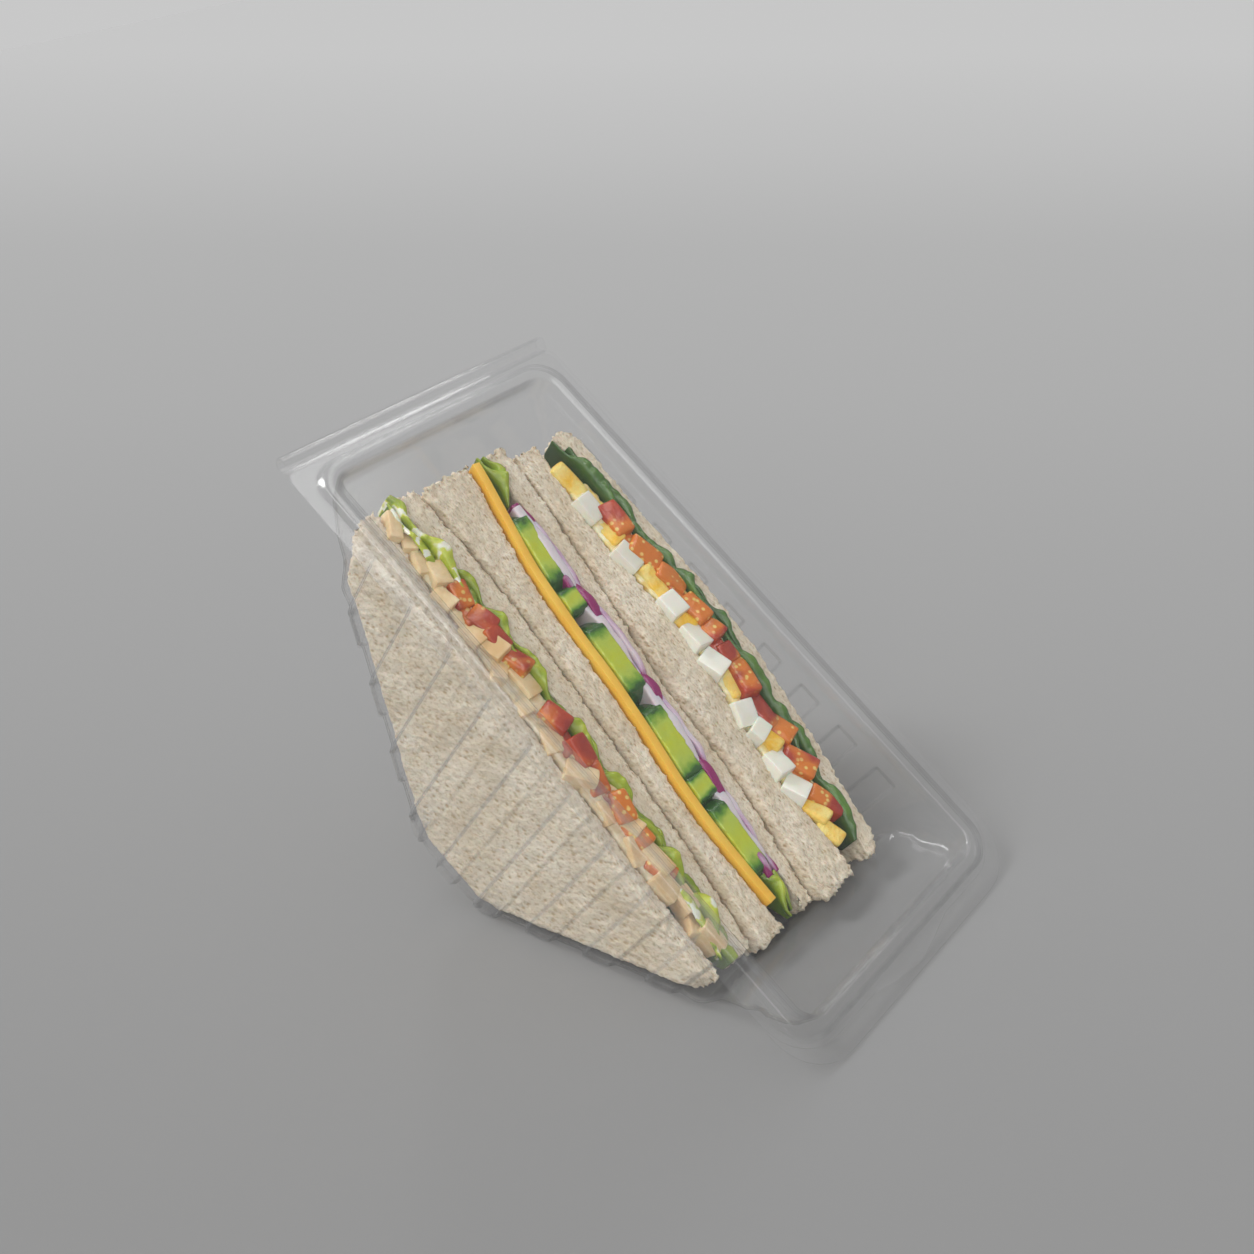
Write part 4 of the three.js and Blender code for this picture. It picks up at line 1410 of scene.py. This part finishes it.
@dataclass
class CheddarFilling:
    """A sheet of cheddar with cucumber, red onion and scraps of lettuce."""

    sandwich: Sandwich = CHEDDAR_SANDWICH
    thickness: float = 2.6
    reach: float = 155.5
    radius: float = 13.0
    drop: float = 7.6

    def build(self) -> None:
        """Makes the filling."""
        self.cheese()
        cucumber = CUCUMBER.material()
        for number, x in enumerate((50, 84, 109, 137.5)):
            node = f"cucumber_slice_{number + 1}"
            self.slice(f"cut_cucumber_{number + 1}", x, self.radius, self.drop, cucumber, node)
        for number, x in enumerate((66.2, 122.6)):
            self.slice(f"cucumber_bit_{number + 1}", x, 4.2, 1.5, cucumber, f"cucumber_end_{number + 1}")
        for number in (5, 6):
            dress_node(f"cucumber_slice_{number}", cucumber)
        onion = ONION.material()
        for number, (start, end) in enumerate(((38, 66), (64, 94), (92, 121), (118, 150))):
            strips = [
                self.strip(start, end, 0.76, number * 5, 2.9, 0.1),
                self.strip(start + 3, end + 1, 0.93, number * 5 + 1, 1.3, 0.42),
                self.strip(start - 1, start + 10, 0.84, number * 5 + 2, 2.6, 0.75),
                self.strip(end - 9, end + 1, 0.66, number * 5 + 3, 2.0, 0.7),
            ]
            piece = join(f"cut_onion_{number + 1}", strips)
            finish_piece(piece, onion, [f"onion_slice_{number + 1}"])
        lettuce = LETTUCE.material()
        dress_leaves("lettuce_bit_hinge", [
            Leaf(self.sandwich, 21.5, 37, 0.62, 11, swing=1.2, depth=9, curl=3.0),
            Leaf(self.sandwich, 22, 34, 0.88, 12, rise=2.0, depth=8, ruffles=1.4, curl=2.2),
        ], lettuce, ["lettuce_scrap_1"])
        dress_leaves("lettuce_bit_front", [
            Leaf(self.sandwich, 149, 161.5, 0.5, 13, swing=1.2, depth=7, curl=2.8),
            Leaf(self.sandwich, 150, 160.5, 0.75, 14, swing=1.2, rise=2.2, depth=7, curl=2.0),
        ], lettuce, ["lettuce_scrap_2"])

    def cheese(self) -> None:
        """Makes the sheet of cheddar, a little wavy along its edge."""
        pack = FilmPack()
        inset, lowest = 1.5, -70
        over_floor, seat = 3.0, 0.8

        def place(along: float, up: float) -> Point:
            x = self.sandwich.start + inset + (self.reach - self.sandwich.start - inset) * along
            low = max(pack.floor(x) + over_floor + seat, lowest)
            wave = noise.noise(Vector((x / 14, 2.0, 0)))
            top = self.sandwich.cut(x) + 1.1 + 0.2 * wave
            return x, self.sandwich.across(x, 0) + 0.35 + 0.15 * wave, low + (top - low) * up

        sheet = grid("cheddar_sheet", 90, 24, place)
        modify(sheet, "SOLIDIFY", thickness=self.thickness - 0.3, offset=-1.0)
        weld(sheet, 0.001)
        round_off(sheet, 0.35, 40)
        finish_piece(sheet, CHEDDAR.material(), ["cheddar_slice"], smooth=50)

    def slice(self, name: str, x: float, radius: float, drop: float, finish: Finish, node: str) -> None:
        """Makes one slice of cucumber, standing on edge and cut off at the top.

        Args:
            name: The piece's name.
            x: Where its centre lies along the pack.
            radius: Its radius.
            drop: How far its centre lies under the cut.
            finish: What it is dressed in.
            node: The node that it stands for.
        """
        near = self.sandwich.across(x, 0) + self.thickness + 0.6
        far = near + (self.sandwich.across(x, 1) - near) * 0.68
        height = self.sandwich.cut(x) - drop
        tilt = math.atan2(self.sandwich.across(x + 5, 0.3) - self.sandwich.across(x - 5, 0.3), 10)
        deselect()
        bpy.ops.mesh.primitive_cylinder_add(
            vertices=56, radius=radius, depth=far - near, end_fill_type="TRIFAN",
            location=(x, (near + far) / 2, height), rotation=(math.pi / 2, 0, tilt),
        )
        piece = bpy.context.active_object
        piece.name = name
        bpy.ops.object.transform_apply(location=True, rotation=True, scale=True)
        slope = math.atan2(self.sandwich.cut(x + 5) - self.sandwich.cut(x - 5), 10)
        with editing(piece):
            bpy.ops.mesh.bisect(
                plane_co=(x, near, self.sandwich.cut(x) + 1.5),
                plane_no=(-math.sin(slope), 0, math.cos(slope)), use_fill=True, clear_outer=True,
            )
        remesh(piece, 0.42)
        ruffle(piece, "CLOUDS", 3.0, 0.25)
        store_rind_and_depth_shade(piece, lambda co: math.hypot(co.x - x, co.z - height) / radius)
        finish_piece(piece, finish, [node])

    def strip(
        self, start: float, end: float, share: float, seed: int, width: float, purple: float
    ) -> Piece:
        """Makes one arched strip of onion.

        Args:
            start: Where it starts along the pack.
            end: Where it ends.
            share: Where it lies across the filling.
            seed: Sets how it bends.
            width: How wide it is.
            purple: How near its skin it is cut, from nought to one.

        Returns:
            The strip.
        """
        chance = random.Random(seed * 13 + 5)
        bow = chance.uniform(0.5, 1.4)
        lift = chance.uniform(0.8, 1.9)

        def place(along: float, up: float) -> Point:
            x = start + (end - start) * along
            arch = math.sin(math.pi * along)
            wave = noise.noise(Vector((x / 7, seed, 0)))
            y = self.sandwich.across(x, share) + bow * (arch - 0.5) + 0.9 * wave
            z = self.sandwich.cut(x) - 9 + (9 + lift * (0.4 + 0.6 * arch) + 0.6 * wave) * up
            return x, y, z

        def skin(co: Vector) -> float:
            along = (co.x - start) / (end - start)
            side = noise.noise(Vector((co.x / 9, co.y / 1.5, seed)))
            return min(max(purple + 0.30 * abs(2 * along - 1) ** 3 + 0.32 * side, 0), 1)

        piece = grid("strip", max(int((end - start) * 1.4), 8), 8, place)
        modify(piece, "SOLIDIFY", thickness=width, offset=0.0)
        round_off(piece, min(0.5, width / 4), 50)
        store_rind_and_depth_shade(piece, skin)
        return piece


@dataclass
class EggFilling:
    """Cut egg in dressing, tomato and spinach."""

    sandwich: Sandwich = EGG_SANDWICH
    whites: tuple[tuple[tuple[float, float], ...], ...] = (
        ((44, 52),), ((61, 69), (79, 86)), ((89, 96.5), (97.5, 105)), ((112, 119), (119.5, 124)),
        ((128, 135), (136, 143)),
    )
    yolks: tuple[tuple[tuple[float, float], ...], ...] = (
        ((33, 44),), ((52, 61),), ((69, 79), (85, 91)), ((104, 112),), ((119, 129),),
        ((143, 151), (149, 157)),
    )
    proud: dict[str, float] = field(default_factory=lambda: {"egg_white": 1.1, "egg_yolk": 0.2})
    tomatoes: tuple[tuple[float, float], ...] = ((50, 71), (72, 91), (92, 103), (102, 129), (130, 151))

    def cubes(
        self, node: str, spans: Sequence[tuple[float, float]], share: float, width: float,
        finish: Finish, slot: str, chance: random.Random,
    ) -> None:
        """Lays cut pieces of egg in a row.

        Args:
            node: The node that they stand for.
            spans: Where each starts and ends along the pack.
            share: Where they lie across the filling.
            width: How wide they are.
            finish: What they are dressed in.
            slot: Their slot.
            chance: Sets their sizes.
        """
        parts = []
        for item, (start, end) in enumerate(spans):
            x = (start + end) / 2
            room = self.sandwich.across(x, 1) - self.sandwich.across(x, 0)
            size = (end - start + 0.3, min(width, 0.62 * room), 7)
            z = self.sandwich.cut(x) - size[2] / 2 + chance.uniform(0.2, 1.0) + self.proud[slot]
            y = self.sandwich.across(x, share + chance.uniform(-0.04, 0.06))
            uneven = 0.07 if slot == "egg_white" else 0.17
            turn = chance.uniform(-20, 20)
            parts.append(lump("cut", (x, y, z), size, turn, int(start * 7), uneven, 6 * uneven, 13))
        finish_piece(join(f"cut_{node}", parts), finish, [node], smooth=30)

    def build(self) -> None:
        """Makes the filling."""
        chance = random.Random(21)
        white, yolk, tomato = WHITE.material(), YOLK.material(), TOMATO.material()
        for number, spans in enumerate(self.whites):
            self.cubes(f"egg_white_piece_{number + 1}", spans, 0.16, 6.4, white, "egg_white", chance)
        for number, spans in enumerate(self.yolks):
            self.cubes(f"egg_yolk_piece_{number + 1}", spans, 0.30, 5.2, yolk, "egg_yolk", chance)
        dice_up("egg_tomato", "tomato_egg_piece", self.sandwich, self.tomatoes, tomato, chance, 700)
        fill_bed("egg_filling", self.sandwich, MAYO.material())
        spinach = SPINACH.material()
        for number, (start, end) in enumerate(((27, 76), (70, 120), (114, 159))):
            front = Leaf(
                self.sandwich, start, end, 0.84, 30 + number,
                swing=0.8, rise=2.2, depth=16, ruffles=0.6, curl=2.8,
            )
            back = Leaf(
                self.sandwich, start + 4, end - 3, 0.98, 40 + number,
                swing=0.7, rise=1.6, depth=12, ruffles=0.8, curl=2.2,
            )
            node = f"spinach_leaf_{number + 1}"
            dress_leaves(f"spinach_{number + 1}", [front, back], spinach, [node])


def dice_up(
    name: str, node: str, sandwich: Sandwich, spans: Sequence[tuple[float, float]], finish: Finish,
    chance: random.Random, seed: int,
) -> None:
    """Lays a row of cut tomato, three uneven dice to each piece.

    Args:
        name: The pieces' name, before the number.
        node: The nodes' name, before the number.
        sandwich: The sandwich that they lie in.
        spans: Where each piece starts and ends along the pack.
        finish: What they are dressed in.
        chance: Sets their sizes.
        seed: Sets their corners.
    """
    share = 0.64
    for number, (start, end) in enumerate(spans):
        parts = []
        for item, spot in enumerate((0.5, 0.22, 0.78)):
            x = start + (end - start) * spot
            room = sandwich.across(x, 1) - sandwich.across(x, 0)
            width = min(6.4, 0.58 * room) if item else 0.45 * room
            size = ((end - start) * (0.46 if item else 0.6) + 0.8, width, 8)
            z = sandwich.cut(x) - size[2] / 2 + (chance.uniform(1.2, 2.4) if item else 0.4)
            y = sandwich.across(x, share + chance.uniform(-0.06, 0.06) - (0 if item else 0.12))
            turn = chance.uniform(-24, 24)
            parts.append(lump("dice", (x, y, z), size, turn, seed + number * 7 + item, 0.2, 0.9, 12))
        piece = join(f"{name}_{number + 1}", parts)
        finish_piece(piece, finish, [f"{node}_{number + 1}"], smooth=40)


def fill_bed(node: str, sandwich: Sandwich, finish: Finish) -> None:
    """Remakes the bed of a filling as a lumpy mass that reaches up between its pieces.

    Args:
        node: The node that it stands for.
        sandwich: The sandwich that it lies in.
        finish: What it is dressed in.
    """
    under_cut, raised_depth, voxel = 0.2, 16, 0.7
    piece = copy_node(node, f"{node}_bed")
    lift = min(sandwich.cut(vertex.co.x) - under_cut - vertex.co.z for vertex in piece.data.vertices)
    for vertex in piece.data.vertices:
        if vertex.co.z > sandwich.cut(vertex.co.x) - raised_depth:
            vertex.co.z += lift
    remesh(piece, voxel)
    ruffle(piece, "CLOUDS", 3.0, 1.6)
    ruffle(piece, "CLOUDS", 1.1, 0.7)
    finish_piece(piece, finish, [node])


def dress_node(node: str, material: Finish) -> None:
    """Dresses a node whose own shape is right.

    Args:
        node: The node.
        material: What it is dressed in.
    """
    piece = frame["nodes"][node]
    if not piece.material_slots:
        piece.data.materials.append(material)
    for slot in piece.material_slots:
        slot.material = material


# The studio


@dataclass(frozen=True)
class Studio:
    """A grey floor with painted light, soft lamps and the camera."""

    # Painted light: the floor's grey at each angle, in degrees, round the fan's centre.
    tones: tuple[tuple[float, float], ...] = (
        (122, 0.24), (112, 0.29), (100, 0.335), (88, 0.36), (78, 0.41), (64, 0.455)
    )
    fan: tuple[float, float] = (0.592, -1.194)
    sky: float = 0.665
    mirrored: tuple[tuple[float, float], ...] = (
        (0, 0.40), (0.50, 0.42), (0.75, 0.45), (0.78, 2.8), (0.87, 2.8), (0.90, 0.5), (1, 0.5)
    )
    backdrop: float = 0.58
    lamps: tuple[tuple[str, Point, float, float], ...] = (
        ("key", (-0.55, 0.75, 1.3), 18, 1.6),
        ("glint_far", (0.9, 0.9, 0.9), 9, 0.2),
        ("glint_hinge", (-0.7, 1.5, 0.5), 7, 0.05),
        ("fill", (-0.9, -0.7, 0.8), 50, 0.75),
    )
    lens: float = 41.68
    camera_place: Point = (-0.22865, -0.2230, 0.2336)
    camera_right: Point = (0.6348, -0.7513, -0.1807)
    camera_back: Point = (-0.6346, -0.6403, 0.4327)
    sheets: int = 48
    bounces: int = 16
    glossy_bounces: int = 8
    floor_size: float = 120

    def floor(self) -> None:
        """Lays the floor with painted light: its grey is painted lighter away from the camera, as on a lit
        sweep.
        """
        deselect()
        bpy.ops.mesh.primitive_plane_add(size=self.floor_size)
        plane = bpy.context.active_object
        plane.name = "floor"
        sketch = Sketch("studio_floor")
        mapping = sketch.add("ShaderNodeMapping", vector_type="TEXTURE")
        mapping.inputs["Location"].default_value = (*self.fan, 0)
        turn = sketch.add("ShaderNodeTexGradient", gradient_type="RADIAL")
        sketch.link(sketch.place, mapping.inputs["Vector"])
        sketch.link(mapping.outputs["Vector"], turn.inputs["Vector"])
        # Painted light: the ramp paints the grey tones by angle round the fan's centre.
        stops = sorted((angle / 360 + 0.5, (tone, tone, tone)) for angle, tone in self.tones)
        colour = sketch.ramp(turn.outputs["Fac"], stops)
        sketch.link(colour, sketch.shader.inputs["Base Color"])
        sketch.set(Roughness=0.9, Specular_IOR_Level=0.0)
        plane.data.materials.append(sketch.material)

    def lamp(self, name: str, place: Point, softness: float, strength: float) -> None:
        """Hangs one far, soft lamp, turned to the pack.

        Args:
            name: The lamp's name.
            place: Where it shines from.
            softness: The angle over which it spreads, in degrees.
            strength: Its strength.
        """
        deselect()
        bpy.ops.object.light_add(type="SUN", location=place)
        lamp = bpy.context.active_object
        lamp.name = name
        lamp.data.angle = math.radians(softness)
        lamp.data.energy = strength
        lamp.rotation_euler = (-Vector(place)).to_track_quat("-Z", "Y").to_euler()

    def light(self) -> None:
        """Lights the set: the sky that mirrors in the film is dimmer than the one that lights it."""
        world = bpy.data.worlds.new("studio")
        world.use_nodes = True
        tree = NodeTree(world.node_tree)
        background = world.node_tree.nodes["Background"]
        background.inputs["Color"].default_value = (1, 1, 1, 1)
        path = tree.add("ShaderNodeLightPath")
        seen = tree.add("ShaderNodeMath", operation="MAXIMUM")
        tree.link(path.outputs["Is Camera Ray"], seen.inputs[0])
        tree.link(path.outputs["Is Transmission Ray"], seen.inputs[1])
        height = tree.add("ShaderNodeSeparateXYZ")
        tree.link(tree.add("ShaderNodeTexCoord").outputs["Generated"], height.inputs["Vector"])
        brightest = max(glow for _, glow in self.mirrored)
        shares = [(level, (glow / brightest,) * 3) for level, glow in self.mirrored]
        glow = tree.add("ShaderNodeMath", operation="MULTIPLY")
        tree.link(tree.ramp(height.outputs["Z"], shares), glow.inputs[0])
        glow.inputs[1].default_value = brightest
        unseen = tree.span(path.outputs["Is Glossy Ray"], self.sky, glow.outputs[0])
        tree.link(tree.span(seen.outputs[0], unseen, self.backdrop), background.inputs["Strength"])
        bpy.context.scene.world = world
        for name, place, softness, strength in self.lamps:
            self.lamp(name, place, softness, strength)

    def camera(self) -> None:
        """Sets the camera at the picture's own place and angle."""
        data = bpy.data.cameras.new("camera")
        data.lens = self.lens
        data.sensor_width = 36
        data.clip_start = 0.01
        camera = bpy.data.objects.new("camera", data)
        bpy.context.scene.collection.objects.link(camera)
        right = Vector(self.camera_right).normalized()
        back = Vector(self.camera_back).normalized()
        up = back.cross(right).normalized()
        right = up.cross(back)
        turn = Matrix((right, up, back)).transposed().to_4x4()
        camera.matrix_world = Matrix.Translation(self.camera_place) @ turn
        bpy.context.scene.camera = camera

    def build(self) -> None:
        """Makes the studio."""
        self.floor()
        self.light()
        self.camera()
        scene = bpy.context.scene
        scene.view_settings.view_transform = "Standard"
        scene.cycles.transparent_max_bounces = self.sheets
        scene.cycles.max_bounces = self.bounces
        scene.cycles.glossy_bounces = self.glossy_bounces


def main() -> None:
    """Builds the pack, its sandwiches and the studio in order."""
    logging.basicConfig(level=logging.INFO, format="%(name)s %(message)s")
    Studio().build()
    film = FILM.material()
    pack = FilmPack()
    pack.tub(film)
    pack.lid(film)
    Bread().build(CRUMB.material())
    ChickenFilling().build()
    CheddarFilling().build()
    EggFilling().build()
    deselect()
    faces = sum(len(piece.data.polygons) for piece in bpy.data.objects if piece.type == "MESH")
    log.info("%d faces in all", faces)


if __name__ == "__main__":
    main()
